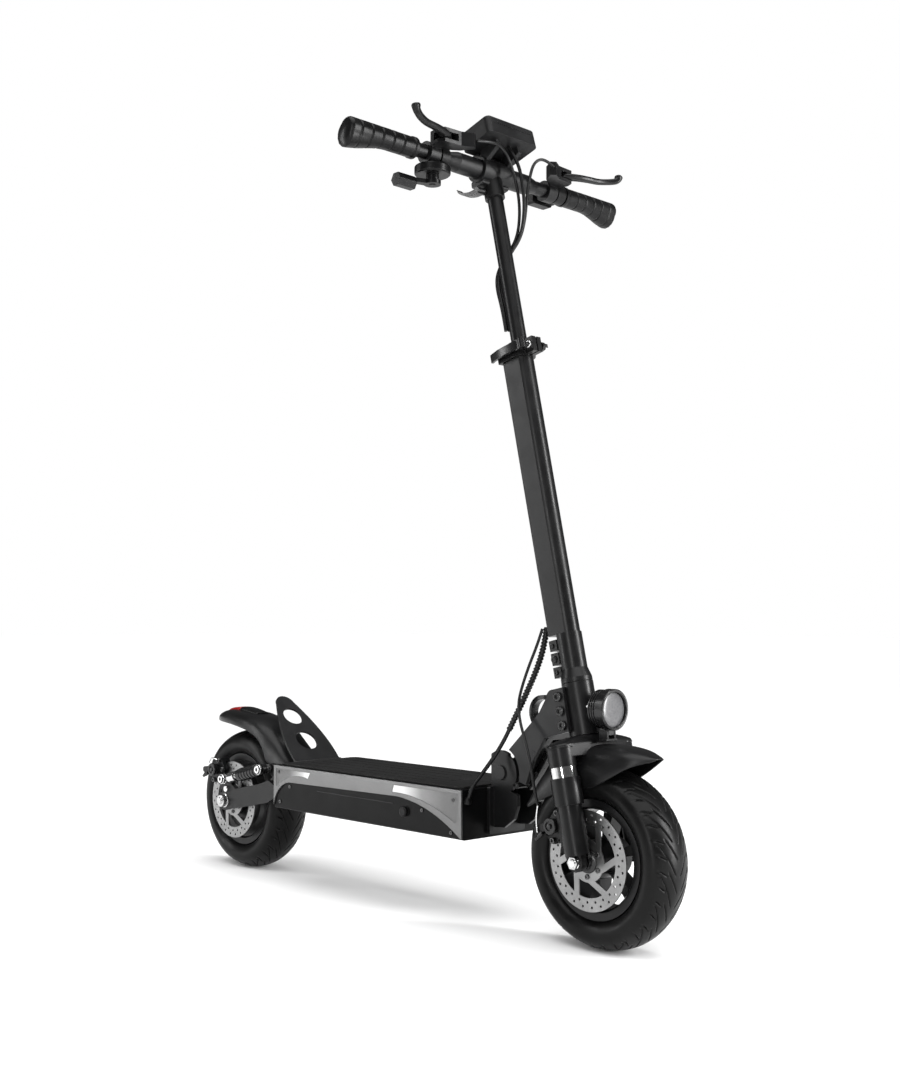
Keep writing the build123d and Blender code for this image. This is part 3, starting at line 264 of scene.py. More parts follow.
def flake_paint():
    """Grey metallic trim paint with fine flakes."""
    made = Shader("trim_grey")
    flake = made.node("ShaderNodeTexVoronoi", Scale=2600.0)
    made.link(made.coords, flake.inputs["Vector"])
    made.colour(made.ramp(flake.outputs["Distance"], [(0.0, tone(0.10)), (0.9, tone(0.15))]))
    made.rough(made.grey(made.noise(50.0, 5.0), 0.3, 0.4))
    made.set(Metallic=0.75, Coat_Weight=0.3, Coat_Roughness=0.15)
    made.bump([(made.noise(900.0, 2.0), 0.06, 0.0002)], 0.0009)
    return made.material


def braid(name, base, scale, strength):
    """Cable sleeve: fine crossing strands along the cable."""
    made = Shader(name)
    waves = []
    for turn in (35, -35):
        slant = made.node("ShaderNodeMapping")
        slant.inputs["Rotation"].default_value = (radians(turn), 0, radians(turn))
        made.link(made.coords, slant.inputs["Vector"])
        wave = made.node("ShaderNodeTexWave", Scale=scale)
        made.link(slant.outputs["Vector"], wave.inputs["Vector"])
        waves.append((wave.outputs["Fac"], strength, 0.0003))
    cloud = made.noise(60.0, 3.0)
    made.colour(made.ramp(cloud, [(0.3, tone(base * 0.8)), (0.7, tone(base * 1.3))]))
    made.rough(made.grey(cloud, 0.42, 0.58))
    made.bump(waves)
    return made.material


def mat_rubber():
    """Deck grip: black rubber with a close grid of small studs."""
    made = Shader("mat_rubber")
    cell = made.node("ShaderNodeTexVoronoi", Scale=330.0, Randomness=0.15)
    made.link(made.coords, cell.inputs["Vector"])
    cloud = made.noise(14.0, 6.0)
    made.colour(made.ramp(cloud, [(0.3, tone(0.0035)), (0.7, tone(0.008))]))
    made.rough(made.grey(made.noise(70.0, 4.0), 0.5, 0.66))
    made.set(Specular_IOR_Level=0.28)
    made.bump([(cell.outputs["Distance"], 0.5, 0.0005)], 0.0006)
    return made.material


satin_black = coat("satin_black", 0.0045, 0.33, 900.0, 0.025, specular=0.23)
deck_black = coat("deck_black", 0.0022, 0.36, 1200.0, 0.08, specular=0.10)
plate_black = coat("plate_black", 0.008, 0.42, 1000.0, 0.1, specular=0.25)
alloy_black = coat("alloy_black", 0.005, 0.26, 1500.0, 0.05, specular=0.42)
plastic_black = coat("plastic_black", 0.0035, 0.36, 1700.0, 0.1, specular=0.17)
fender_black = coat("fender_black", 0.0045, 0.36, 1500.0, 0.08, specular=0.24)
grip_rubber = coat("grip_rubber", 0.003, 0.34, 1300.0, 0.12, specular=0.17)
case_black = coat("case_black", 0.007, 0.42, 1600.0, 0.1, specular=0.24)
battery_wrap = coat("battery_wrap", 0.03, 0.3, 300.0, 0.3)
tyre_black = tyre_rubber()
chrome = steel("chrome", 0.72, 0.12)
bolt_steel = steel("bolt_steel", 0.55, 0.24)
dark_steel = steel("dark_steel", 0.10, 0.3)
disc_front = steel("disc_front", 0.27, 0.36, front_hub)
disc_rear = steel("disc_rear", 0.27, 0.36, rear_hub)
trim_grey = flake_paint()
lamp = lamp_strip()
tail_red = frosted("tail_red", (0.24, 0.004, 0.004), 0.22, 420.0)
lens_grey = frosted("lens_grey", (0.075, 0.075, 0.078), 0.34, 300.0)
screen_glass = frosted("screen_glass", (0.004, 0.004, 0.006), 0.08, 900.0)
button_red = frosted("button_red", (0.35, 0.01, 0.01), 0.3, 500.0)
button_green = frosted("button_green", (0.02, 0.22, 0.04), 0.3, 500.0)
smooth_cable = coat("smooth_cable", 0.004, 0.38, 900.0, 0.06, specular=0.25)
wrap_cable = braid("wrap_cable", 0.008, 260.0, 0.4)
mat_black = mat_rubber()

finish_of = {
    satin_black: ["fork_crown", "fork_legs", "stem_clamp", "lower_stem", "stem_collar", "upper_stem",
                  "handlebar", "lever_mounts", "fold_bracket", "head_tube", "neck_core",
                  "rear_bracket", "swingarm",
                  "headlight_bracket", "kickstand", "front_caliper", "rear_caliper", "front_rim",
                  "rear_motor"],
    plate_black: ["neck_plates", "foot_plate"],
    deck_black: ["deck_tray", "deck_lid"],
    alloy_black: ["headlight_housing", "shock_bodies", "controller", "latch_lever", "collar_lever",
                  "bar_lever", "brake_lever_right", "brake_lever_left"],
    plastic_black: ["switch_box", "throttle_body", "throttle_paddle", "charge_port", "front_fender",
                    "rear_fender"],
    case_black: ["display_case"],
    grip_rubber: ["grips"],
    mat_black: ["grip_mat"],
    tyre_black: ["front_tyre", "rear_tyre"],
    chrome: ["stanchions", "shock_rods"],
    bolt_steel: ["front_axle", "rear_axle"],
    dark_steel: ["deck_screws"],
    disc_front: ["front_rotor"],
    disc_rear: ["rear_rotor"],
    trim_grey: ["side_trims"],
    lamp: ["side_lamps"],
    tail_red: ["tail_light"],
    lens_grey: ["headlight_lens"],
    screen_glass: ["display_screen"],
    button_red: ["horn_button"],
    button_green: ["light_button"],
    battery_wrap: ["battery_pack"],
    smooth_cable: ["front_brake_cable", "bar_cables"],
    wrap_cable: ["main_harness"],
}
for material, names in finish_of.items():
    for name in names:
        nodes[name].data.materials.clear()
        nodes[name].data.materials.append(material)

# ======================================================================== mesh tools


def piece(name, vertices, faces, material, body, replaced=(), smooth=True, keep_angle=None):
    """Makes one visible piece from plain lists, with outward faces, and rides it on its body."""
    mesh = bpy.data.meshes.new(name)
    mesh.from_pydata([tuple(point) for point in vertices], [], faces)
    work = bmesh.new()
    work.from_mesh(mesh)
    bmesh.ops.remove_doubles(work, verts=work.verts, dist=1e-6)
    bmesh.ops.recalc_face_normals(work, faces=work.faces)
    work.to_mesh(mesh)
    work.free()
    mesh.materials.append(material)
    made = bpy.data.objects.new(name, mesh)
    bpy.context.scene.collection.objects.link(made)
    finish_piece(made, body, replaced, smooth, keep_angle)
    return made


def finish_piece(made, body, replaced=(), smooth=True, keep_angle=None):
    """Shading, body and replaced nodes of a new piece; body None leaves it free for a blend."""
    if smooth:
        made.data.polygons.foreach_set("use_smooth", [True] * len(made.data.polygons))
    if keep_angle:
        made.data.set_sharp_from_angle(angle=radians(keep_angle))
    if body:
        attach(made, body)
    if replaced:
        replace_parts(made, *replaced)


def subdivide(made, levels=1):
    modifier = made.modifiers.new("smooth", "SUBSURF")
    modifier.levels = levels
    modifier.render_levels = levels


def grid_faces(rows, columns, close_columns=False, close_rows=False):
    """Quads of a grid of points, stored row by row."""
    faces = []
    for row in range(rows if close_rows else rows - 1):
        for column in range(columns if close_columns else columns - 1):
            next_row = (row + 1) % rows
            next_column = (column + 1) % columns
            faces.append((row * columns + column, row * columns + next_column,
                          next_row * columns + next_column, next_row * columns + column))
    return faces


def arc_through(start, middle, end, count):
    """Points on the circle through three places in a plane."""
    (ax, ay), (bx, by), (cx, cy) = start, middle, end
    d = 2 * (ax * (by - cy) + bx * (cy - ay) + cx * (ay - by))
    aa = ax * ax + ay * ay
    bb = bx * bx + by * by
    cc = cx * cx + cy * cy
    ux = (aa * (by - cy) + bb * (cy - ay) + cc * (ay - by)) / d
    uy = (aa * (cx - bx) + bb * (ax - cx) + cc * (bx - ax)) / d
    radius = hypot(ax - ux, ay - uy)
    first = atan2(ay - uy, ax - ux)
    middle_turn = (atan2(by - uy, bx - ux) - first) % (2 * pi)
    last_turn = (atan2(cy - uy, cx - ux) - first) % (2 * pi)
    if middle_turn > last_turn:
        last_turn -= 2 * pi
    return [(ux + radius * cos(first + last_turn * k / (count - 1)),
             uy + radius * sin(first + last_turn * k / (count - 1))) for k in range(count)]


def curve_points(points, count):
    """Smooth Catmull-Rom curve through points, each with any number of values, evenly by index."""
    points = np.array(points, float)
    padded = np.vstack([2 * points[0] - points[1], points, 2 * points[-1] - points[-2]])
    result = []
    for t in np.linspace(0, len(points) - 1, count):
        k = min(int(t), len(points) - 2)
        u = t - k
        p0, p1, p2, p3 = padded[k:k + 4]
        result.append(0.5 * (2 * p1 + (p2 - p0) * u + (2 * p0 - 5 * p1 + 4 * p2 - p3) * u * u
                             + (3 * p1 - p0 - 3 * p2 + p3) * u ** 3))
    return np.array(result)


def limb(name, stations, flat_axis, material, body, replaced=(), count=40, around=20, square=2.6):
    """Solid limb with rounded-square sections, swept along (x, y, z, half width, half depth) stations.

    Half width is measured along flat_axis, and half depth across it and the path.
    """
    line = curve_points(stations, count)
    places = line[:, :3]
    tangents = np.gradient(places, axis=0)
    flat = np.array(flat_axis, float)
    vertices = []
    for place, tangent, half_width, half_depth in zip(places, tangents, line[:, 3], line[:, 4]):
        tangent = tangent / np.linalg.norm(tangent)
        wide = flat - tangent * flat.dot(tangent)
        wide = wide / np.linalg.norm(wide)
        deep = np.cross(tangent, wide)
        for k in range(around):
            angle = 2 * pi * k / around
            c, s = cos(angle), sin(angle)
            u = half_width * abs(c) ** (2 / square) * (1 if c > 0 else -1)
            v = half_depth * abs(s) ** (2 / square) * (1 if s > 0 else -1)
            vertices.append(place + wide * u + deep * v)
    faces = grid_faces(count, around, close_columns=True)
    faces.append(tuple(range(around)))
    faces.append(tuple((count - 1) * around + k for k in range(around)))
    return piece(name, vertices, faces, material, body, replaced, keep_angle=50)


def turned(name, profile, centre, axis, material, body, replaced=(), around=48, keep_angle=35,
           capped=True):
    """Solid of revolution: profile holds (distance along the axis, radius)."""
    axis = Vector(axis).normalized()
    side = axis.orthogonal().normalized()
    other = axis.cross(side)
    vertices = []
    for along, radius in profile:
        for k in range(around):
            angle = 2 * pi * k / around
            spoke = side * cos(angle) + other * sin(angle)
            vertices.append(Vector(centre) + axis * along + spoke * radius)
    faces = grid_faces(len(profile), around, close_columns=True)
    if capped and profile[0][1] > 0:
        faces.append(tuple(range(around)))
    if capped and profile[-1][1] > 0:
        faces.append(tuple((len(profile) - 1) * around + k for k in range(around)))
    return piece(name, vertices, faces, material, body, replaced, keep_angle=keep_angle)


def cable(name, points, radius, material, body, replaced=(), blend=None):
    """Smooth cable: a NURBS line through given points, with a round section."""
    data = bpy.data.curves.new(name, "CURVE")
    data.dimensions = "3D"
    spline = data.splines.new("NURBS")
    spline.points.add(len(points) - 1)
    for point, place in zip(spline.points, points):
        point.co = (*place, 1)
    spline.order_u = 3
    spline.use_endpoint_u = True
    spline.resolution_u = 8
    data.bevel_depth = radius
    data.bevel_resolution = 4
    data.use_fill_caps = True
    data.materials.append(material)
    curve = bpy.data.objects.new(name + "_line", data)
    bpy.context.scene.collection.objects.link(curve)
    bpy.context.view_layer.update()
    mesh = bpy.data.meshes.new_from_object(curve.evaluated_get(bpy.context.evaluated_depsgraph_get()))
    made = bpy.data.objects.new(name, mesh)
    bpy.context.scene.collection.objects.link(made)
    bpy.data.objects.remove(curve)
    if blend:
        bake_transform(made)
    finish_piece(made, None if blend else body, replaced)
    return made


def socket_bolt(name, centre, axis, radius, height, body, material=None):
    """Cap screw with a bevelled rim and a hexagon socket."""
    profile = [(0, radius), (height * 0.8, radius), (height, radius * 0.86), (height, radius * 0.55),
               (height * 0.45, radius * 0.5), (height * 0.4, 0)]
    return turned(name, profile, centre, axis, material or dark_steel, body, around=24)


def spline_points(points):
    """Points along the smooth NURBS line through a route, as Blender makes them."""
    data = bpy.data.curves.new("route", "CURVE")
    data.dimensions = "3D"
    spline = data.splines.new("NURBS")
    spline.points.add(len(points) - 1)
    for point, place in zip(spline.points, points):
        point.co = (*place, 1)
    spline.order_u = 3
    spline.use_endpoint_u = True
    spline.resolution_u = 12
    line = bpy.data.objects.new("route", data)
    bpy.context.scene.collection.objects.link(line)
    bpy.context.view_layer.update()
    mesh = bpy.data.meshes.new_from_object(line.evaluated_get(bpy.context.evaluated_depsgraph_get()))
    places = [vertex.co.copy() for vertex in mesh.vertices]
    bpy.data.objects.remove(line)
    return places


def even_points(places, step):
    """Places at even steps along a line."""
    places = np.array([tuple(place) for place in places])
    lengths = np.concatenate([[0], np.cumsum(np.linalg.norm(np.diff(places, axis=0), axis=1))])
    count = max(3, int(lengths[-1] / step))
    wanted = np.linspace(0, lengths[-1], count)
    return np.stack([np.interp(wanted, lengths, places[:, k]) for k in range(3)], 1), wanted


def wrapped_cable(name, route, radius, ridge, pitch, material, replaced):
    """Cable in a spiral wrap: a tube whose radius rises along a helix."""
    places, travelled = even_points(spline_points(route), pitch / 10)
    tangents = np.gradient(places, axis=0)
    side = np.array((0.0, 1.0, 0.0))
    around = 14
    vertices = []
    for place, tangent, distance in zip(places, tangents, travelled):
        tangent = tangent / np.linalg.norm(tangent)
        side = side - tangent * side.dot(tangent)
        side = side / np.linalg.norm(side)
        other = np.cross(tangent, side)
        for k in range(around):
            angle = 2 * pi * k / around
            wave = 0.5 + 0.5 * cos(angle - 2 * pi * distance / pitch)
            r = radius + ridge * (wave ** 0.5 - 0.5)
            vertices.append(place + (side * cos(angle) + other * sin(angle)) * r)
    faces = grid_faces(len(places), around, close_columns=True)
    faces.append(tuple(range(around)))
    faces.append(tuple((len(places) - 1) * around + k for k in range(around)))
    made = piece(name, vertices, faces, material, None)
    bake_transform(made)
    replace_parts(made, *replaced)


# ======================================================================== tyres

tyre_radius = 0.1275
tread_repeats = 18
groove_deep = 0.0024
# each line: shift round the tyre, inner and outer reach, sweep per metre, half width
tread_lines = ((0.0, 0.006, 0.0335, 46.0, 0.0019), (0.30, 0.001, 0.020, 40.0, 0.0019),
               (0.50, 0.020, 0.0345, 16.0, 0.0014), (0.0, 0.020, 0.0345, 16.0, 0.0014))


def tread_depth(angle, y):
    """Depth of the tread's grooves: long swept lines in pairs, and short cuts at the shoulder."""
    pitch = 2 * pi / tread_repeats
    depth = 0.0
    reach = abs(y)
    lean = 0.0 if y > 0 else 0.5
    for shift, start, end, sweep, width in tread_lines:
        if start < reach < end:
            phase = (angle / pitch + shift + lean - sweep * reach) % 1.0
            gap = min(phase, 1 - phase) * pitch * 0.125      # metres, near the tread
            fade = min(1.0, (reach - start) / 0.003, (end - reach) / 0.004)
            depth = max(depth, groove_deep * fade * max(0.0, 1 - (gap / width) ** 2))
    return depth


def tyre(name, hub, body, replaced):
    """Pneumatic tyre: bead, bulged sidewall and a grooved crown."""
    wall = arc_through((0.0270, 0.0843), (0.0394, 0.104), (0.0290, 0.1195), 14)
    crown = arc_through((0.0290, 0.1195), (0.0, tyre_radius), (-0.0290, 0.1195), 56)
    half_inner = [(0.0185, 0.0780), (0.0262, 0.0780)]
    far_wall = [(-y, r) for y, r in wall[::-1][1:]]
    far_inner = [(-y, r) for y, r in half_inner[::-1]]
    section = half_inner + wall[:-1] + crown + far_wall + far_inner
    inner = arc_through((-0.0200, 0.0850), (0.0, 0.119), (0.0200, 0.0850), 9)
    section += inner
    around = 720
    tread_from = 0.1165
    turns = np.linspace(0, 2 * pi, around, endpoint=False)
    vertices = []
    outer_count = len(section) - len(inner)
    for angle in turns:
        for index, (y, r) in enumerate(section):
            if r > tread_from and index < outer_count:
                r = r - tread_depth(angle, y)
            vertices.append((hub.x + r * cos(angle), y, hub.z + r * sin(angle)))
    faces = grid_faces(around, len(section), close_columns=True, close_rows=True)
    return piece(name, vertices, faces, tyre_black, body, replaced, keep_angle=60)


tyre("front_tyre_tread", front_hub, "front_wheel", ["front_tyre"])
tyre("rear_tyre_tread", rear_hub, "rear_wheel", ["rear_tyre"])

# ======================================================================== fenders


def fender(name, top, low, widths, material, body, replaced, across=15, count=40, square=3.2, skin=0.002):
    """Moulded fender: rounded-square sections between a top line and a lower side edge, then thickened."""
    top_line = curve_points(top, count)
    low_line = curve_points(low, count)
    half = curve_points([(value, 0) for value in widths], count)[:, 0]
    vertices = []
    for (tx, tz), (lx, lz), width in zip(top_line, low_line, half):
        for k in range(across):
            angle = -pi / 2 + pi * k / (across - 1)
            c, s = abs(cos(angle)), sin(angle)
            y = width * abs(s) ** (2 / square) * (1 if s > 0 else -1)
            drop = 1 - c ** (2 / square)
            vertices.append((tx + (lx - tx) * drop, y, tz + (lz - tz) * drop))
    made = piece(name, vertices, grid_faces(count, across), material, body, replaced)
    shell = made.modifiers.new("skin", "SOLIDIFY")
    shell.thickness = skin
    shell.offset = -1
    subdivide(made, 1)
    return made


fender("front_fender_shell",
       [(0.3095, 0.1945), (0.322, 0.222), (0.338, 0.245), (0.362, 0.266), (0.392, 0.279), (0.42, 0.2855),
        (0.455, 0.2875), (0.495, 0.2835), (0.531, 0.2735)],
       [(0.318, 0.1895), (0.345, 0.202), (0.373, 0.2125), (0.405, 0.219), (0.438, 0.2265), (0.460, 0.236),
        (0.480, 0.2475), (0.503, 0.2605), (0.5295, 0.2705)],
       [0.0415, 0.0422, 0.0423, 0.0423, 0.0423, 0.0418, 0.039, 0.031, 0.009],
       fender_black, "steering", ["front_fender"])

fender("rear_fender_shell",
       [(-0.2585, 0.2035), (-0.285, 0.217), (-0.315, 0.241), (-0.350, 0.264), (-0.384, 0.279),
        (-0.415, 0.286), (-0.443, 0.2895), (-0.490, 0.2915), (-0.518, 0.285), (-0.547, 0.2705)],
       [(-0.262, 0.190), (-0.300, 0.193), (-0.338, 0.2035), (-0.347, 0.219), (-0.357, 0.234), (-0.374, 0.247),
        (-0.406, 0.2575), (-0.455, 0.2645), (-0.500, 0.267), (-0.543, 0.2665)],
       [0.0445, 0.0448, 0.0450, 0.0450, 0.0450, 0.0450, 0.0448, 0.042, 0.034, 0.012],
       fender_black, "chassis", ["rear_fender"])

tail_across = 13
tail_top = curve_points([(-0.4140, 0.2885), (-0.4300, 0.2925), (-0.4620, 0.2965), (-0.4950, 0.2945),
                         (-0.5080, 0.2905), (-0.5120, 0.2840)], 24)


def tail_part(name, path, material, replaced=()):
    """A length of the tail lamp's domed shell along the fender's crest."""
    rows = []
    for tx, tz in path:
        for k in range(tail_across):
            angle = -pi / 2 + pi * k / (tail_across - 1)
            c, s = abs(cos(angle)), sin(angle)
            y = 0.0150 * abs(s) ** 0.6 * (1 if s > 0 else -1)
            rows.append((tx, y, tz - 0.0085 * (1 - c ** 0.55)))
    shell = piece(name, rows, grid_faces(len(path), tail_across), material, "chassis", replaced)
    skin = shell.modifiers.new("skin", "SOLIDIFY")
    skin.thickness = 0.0015


tail_part("tail_lens", tail_top[10:], tail_red, ["tail_light"])
tail_part("tail_base", tail_top[:11], plastic_black)

# ======================================================================== bar, grips and levers


def grip(name, side):
    """Rubber grip: five ribbed bands, an inner flange and a palm rest that flares at its outer end."""
    inner, outer = 0.166, 0.296
    rows, around = 92, 48
    vertices = []
    for row in range(rows):
        t = row / (rows - 1)
        y = inner + (outer - inner) * t
        base = 0.0157
        for band in range(1, 6):
            edge = 0.008 + band * 0.0205
            base -= 0.0012 * max(0.0, 1 - ((y - inner - edge) / 0.0011) ** 2)
        if t < 0.05:
            base = 0.0168
        end = max(0.0, (y - outer + 0.006) / 0.006)
        base *= (1 - 0.25 * end * end)
        flare = max(0.0, (t - 0.40) / 0.60)
        flare = flare * flare * (3 - 2 * flare)
        for k in range(around):
            angle = 2 * pi * k / around
            palm = max(0.0, cos(angle - radians(222)))
            rib = 0.00025 * cos(angle * 24) * (0.3 < t < 0.98)
            r = base + rib + 0.0140 * flare * palm ** 1.5 * (1 - 0.35 * end * end)
            place = bar_centre + forward_axis * (r * cos(angle)) + up_axis * (r * sin(angle))
            vertices.append((place.x, side * y, place.z))
    faces = grid_faces(rows, around, close_columns=True)
    faces.append(tuple(range(around)))
    faces.append(tuple((rows - 1) * around + k for k in range(around)))
    return piece(name, vertices, faces, grip_rubber, "mast", keep_angle=55)


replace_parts(grip("grip_right", -1), "grips")
grip("grip_left", 1)


def brake_lever(name, side, body, replaced):
    """Forged lever blade whose tip turns up."""
    stations = [(0.228, 0.127, 1.193, 0.0045, 0.006), (0.238, 0.136, 1.193, 0.0048, 0.0095),
                (0.248, 0.152, 1.193, 0.0048, 0.0078), (0.2545, 0.172, 1.193, 0.0046, 0.0062),
                (0.258, 0.192, 1.1935, 0.0045, 0.0056), (0.264, 0.209, 1.1955, 0.0045, 0.0054),
                (0.2705, 0.2205, 1.1975, 0.0048, 0.0054), (0.2730, 0.2255, 1.2005, 0.0054, 0.0056),
                (0.2735, 0.2270, 1.2050, 0.0062, 0.0062), (0.2735, 0.2275, 1.2075, 0.0052, 0.0052)]
    placed = [(x, side * y, z, wide, deep) for x, y, z, wide, deep in stations]
    limb(name, placed, (0, 0, 1), satin_black, body, replaced, square=3.0)


brake_lever("brake_blade_right", -1, "brake_lever_right", ["brake_lever_right"])
brake_lever("brake_blade_left", 1, "brake_lever_left", ["brake_lever_left"])

# ======================================================================== fork, neck and stem details

leg_ahead = 0.004
leg_side = 0.064


def crown_reach(angle):
    """How far the crown's outline is from the steering axis: two bosses joined to a wide middle."""
    best = 0.027
    for side in (-1, 1):
        for step in range(41):
            share = step / 40
            ahead = leg_ahead * share
            out = side * leg_side * share
            radius = 0.027 + (0.0195 - 0.027) * share
            along = ahead * cos(angle) + out * sin(angle)
            off = out * cos(angle) - ahead * sin(angle)
            if radius > abs(off):
                best = max(best, along + (radius * radius - off * off) ** 0.5)
    return best + 0.0003


def crown_dome():
    """Smooth domed top that runs from the two fork bosses up to the head tube."""
    rings = [(0.0, 0.2885), (0.0, 0.2912), (0.012, 0.2924), (0.04, 0.2932), (0.15, 0.2946), (0.3, 0.2962),
             (0.45, 0.2978), (0.6, 0.2994), (0.72, 0.3009), (0.82, 0.3022), (0.92, 0.3034), (1.0, 0.3040)]
    around = 120
    vertices = []
    for share, height in rings:
        for k in range(around):
            angle = 2 * pi * k / around
            reach = crown_reach(angle)
            distance = reach + (0.0215 - reach) * share
            if share > 0.03:
                height_here = height + 0.004 * sin(pi * min(1, share)) * (1 - 0.0215 / reach)
            else:
                height_here = height
            place = on_stem(height_here, distance * cos(angle), distance * sin(angle))
            vertices.append(place)
    return piece("crown_dome", vertices, grid_faces(len(rings), around, close_columns=True), satin_black,
                 "steering", keep_angle=40)


crown_dome()
right = (0, -1, 0)
left = (0, 1, 0)
for index, height in enumerate((0.322, 0.343, 0.364)):
    socket_bolt(f"neck_bolt_right_{index}", on_stem(height, -0.015, -0.030), right, 0.0072, 0.0036,
                "neck", alloy_black)
    socket_bolt(f"neck_bolt_left_{index}", on_stem(height, -0.015, 0.030), left, 0.0072, 0.0036,
                "neck", alloy_black)
for index, height in enumerate((0.401, 0.421, 0.441)):
    size = 0.0054 if index == 1 else 0.0036
    socket_bolt(f"clamp_bolt_{index}", on_stem(height, -0.0255, -0.0122), right, size, 0.0024,
                "steering", alloy_black)
for name, side, axis in (("right", -1, right), ("left", 1, left)):
    turned("fork_cap_" + name, [(0, 0.0204), (0.0016, 0.0204), (0.0022, 0.0198)],
           on_stem(0.2875, leg_ahead, side * leg_side), up_axis, satin_black, "steering")
    turned("stanchion_ring_" + name, [(0, 0.0196), (0.0006, 0.0202), (0.0026, 0.0202), (0.0032, 0.0194)],
           on_stem(0.2436, leg_ahead, side * leg_side), up_axis, alloy_black, "fork_lower")
    turned("axle_cap_" + name,
           [(0, 0.0088), (0.0042, 0.0088), (0.0058, 0.0076), (0.0085, 0.0070), (0.0105, 0.0052), (0.0112, 0)],
           front_hub + Vector((0, side * 0.0655, 0)), axis, chrome, "fork_lower")
turned("axle_sleeve", [(0, 0.0066), (0.013, 0.0066)], front_hub + Vector((0, -0.0535, 0)), right,
       bolt_steel, "fork_lower")
front_disc_y = -0.0423
rear_disc_y = -0.0496
turned("rotor_hub_front",
       [(0, 0.0172), (0.0012, 0.0172), (0.0022, 0.0150), (0.0042, 0.0128), (0.009, 0.0118), (0.0095, 0.0075)],
       front_hub + Vector((0, front_disc_y, 0)), right, alloy_black, "front_wheel")
for k in range(6):
    angle = radians(30 + 60 * k)
    for name, hub, y, body in (("front", front_hub, front_disc_y, "front_wheel"),
                               ("rear", rear_hub, rear_disc_y, "rear_wheel")):
        place = hub + Vector((0.022 * cos(angle), y, 0.022 * sin(angle)))
        socket_bolt(f"rotor_bolt_{name}_{k}", place, right, 0.0036, 0.0022, body)

# ---- calipers: cam, bolts, cable barrel and the bare end of the cable


def caliper_details(name, hub, angle, y, body):
    """Round cam with an adjuster, mounting bolts and a cable barrel."""
    out = Vector((cos(radians(angle)), 0, sin(radians(angle))))
    turn = Vector((-sin(radians(angle)), 0, cos(radians(angle))))
    face = hub + Vector((0, y, 0))
    turned(name + "_cam",
           [(0, 0.0115), (0.0035, 0.0115), (0.0045, 0.0105), (0.0045, 0.0070), (0.0025, 0.0065),
            (0.0025, 0.0038), (0.0050, 0.0034), (0.0055, 0)],
           face + out * 0.068 + Vector((0, -0.0085, 0)), right, alloy_black, body)
    corners = ((0.008, 0.0175), (0.010, -0.0175), (-0.010, 0.0175), (-0.010, -0.0175))
    for index, (away, along) in enumerate(corners):
        place = face + out * (0.066 + away) + turn * along
        socket_bolt(f"{name}_bolt_{index}", place, right, 0.0044, 0.0045, body)
    turned(name + "_barrel",
           [(0, 0.0028), (0.001, 0.0040), (0.009, 0.0040), (0.010, 0.0030), (0.016, 0.0028), (0.017, 0.0024)],
           face + out * 0.074 + turn * 0.019 + Vector((0, -0.0075, 0)), turn + out * 0.15, alloy_black,
           body)


caliper_details("front_caliper", front_hub, 140, -0.0520, "fork_lower")
caliper_details("rear_caliper", rear_hub, 128, -0.0600, "swingarm")
cable("front_cable_end", [(0.3590, -0.0630, 0.198), (0.3565, -0.0632, 0.186), (0.3560, -0.0632, 0.174),
                          (0.3580, -0.0628, 0.160)], 0.0013, chrome, "fork_lower")
cable("rear_cable_end", [(-0.4900, -0.0680, 0.1930), (-0.4860, -0.0685, 0.2000), (-0.4760, -0.0680, 0.2030),
                         (-0.4640, -0.0670, 0.2000)], 0.0013, chrome, "swingarm")

# ---- rear axle, shock eyes and their bright bolts
shock_eyes = (("front", Vector((-0.3045, 0, 0.196)), "chassis"),
              ("rear", Vector((-0.421, 0, 0.169)), "swingarm"))
for name, eye, body in shock_eyes:
    for side_name, side, axis in (("right", -1, right), ("left", 1, left)):
        turned(f"shock_bolt_{name}_{side_name}",
               [(0, 0.0086), (0.0006, 0.0094), (0.0040, 0.0094), (0.0050, 0.0086), (0.0050, 0.0072),
                (0.0068, 0.0068), (0.0072, 0.0045), (0.0058, 0)],
               eye + Vector((0, side * 0.0822, 0)), axis, chrome, body)
        turned(f"shock_sleeve_{name}_{side_name}", [(0, 0.0080), (0.0082, 0.0080)],
               eye + Vector((0, side * 0.0620, 0)), axis, bolt_steel, body)
for side_name, side, axis in (("right", -1, right), ("left", 1, left)):
    turned("rear_axle_cap_" + side_name,
           [(0, 0.0128), (0.0012, 0.0128), (0.0016, 0.0112), (0.0095, 0.0112), (0.0105, 0.0100),
            (0.0105, 0.0066), (0.0125, 0.0060), (0.0128, 0)],
           rear_hub + Vector((0, side * 0.0690, 0)), axis, bolt_steel, "swingarm")
    turned("swing_nut_" + side_name, [(0, 0.0058), (0.0050, 0.0058), (0.0060, 0.0048), (0.0060, 0)],
           Vector((-0.4245, side * 0.0690, 0.1500)), axis, chrome, "swingarm")

# ======================================================================== headlight

turned("lens_glass", [(0, 0.0250), (0.0014, 0.0249), (0.0022, 0.0230), (0.0029, 0.0150), (0.0031, 0.0)],
       (0.4450, 0, 0.336), (1, 0, 0), lens_grey, "headlight", ["headlight_lens"], around=64)
turned("lens_bezel", [(0, 0.0290), (0.0012, 0.0293), (0.0020, 0.0280), (0.0018, 0.0262), (-0.0006, 0.0252)],
       (0.4490, 0, 0.336), (1, 0, 0), alloy_black, "headlight", around=64, capped=False)
for side_name, side, axis in (("right", -1, right), ("left", 1, left)):
    for index, height in enumerate((0.3300, 0.3400)):
        turned(f"light_screw_{side_name}_{index}",
               [(0, 0.0022), (0.0045, 0.0022), (0.0052, 0.0014), (0.0052, 0)],
               (0.4195 - 0.004 * index, side * 0.0155, height), axis, chrome, "headlight",
               around=16)

# ======================================================================== display and bar fittings

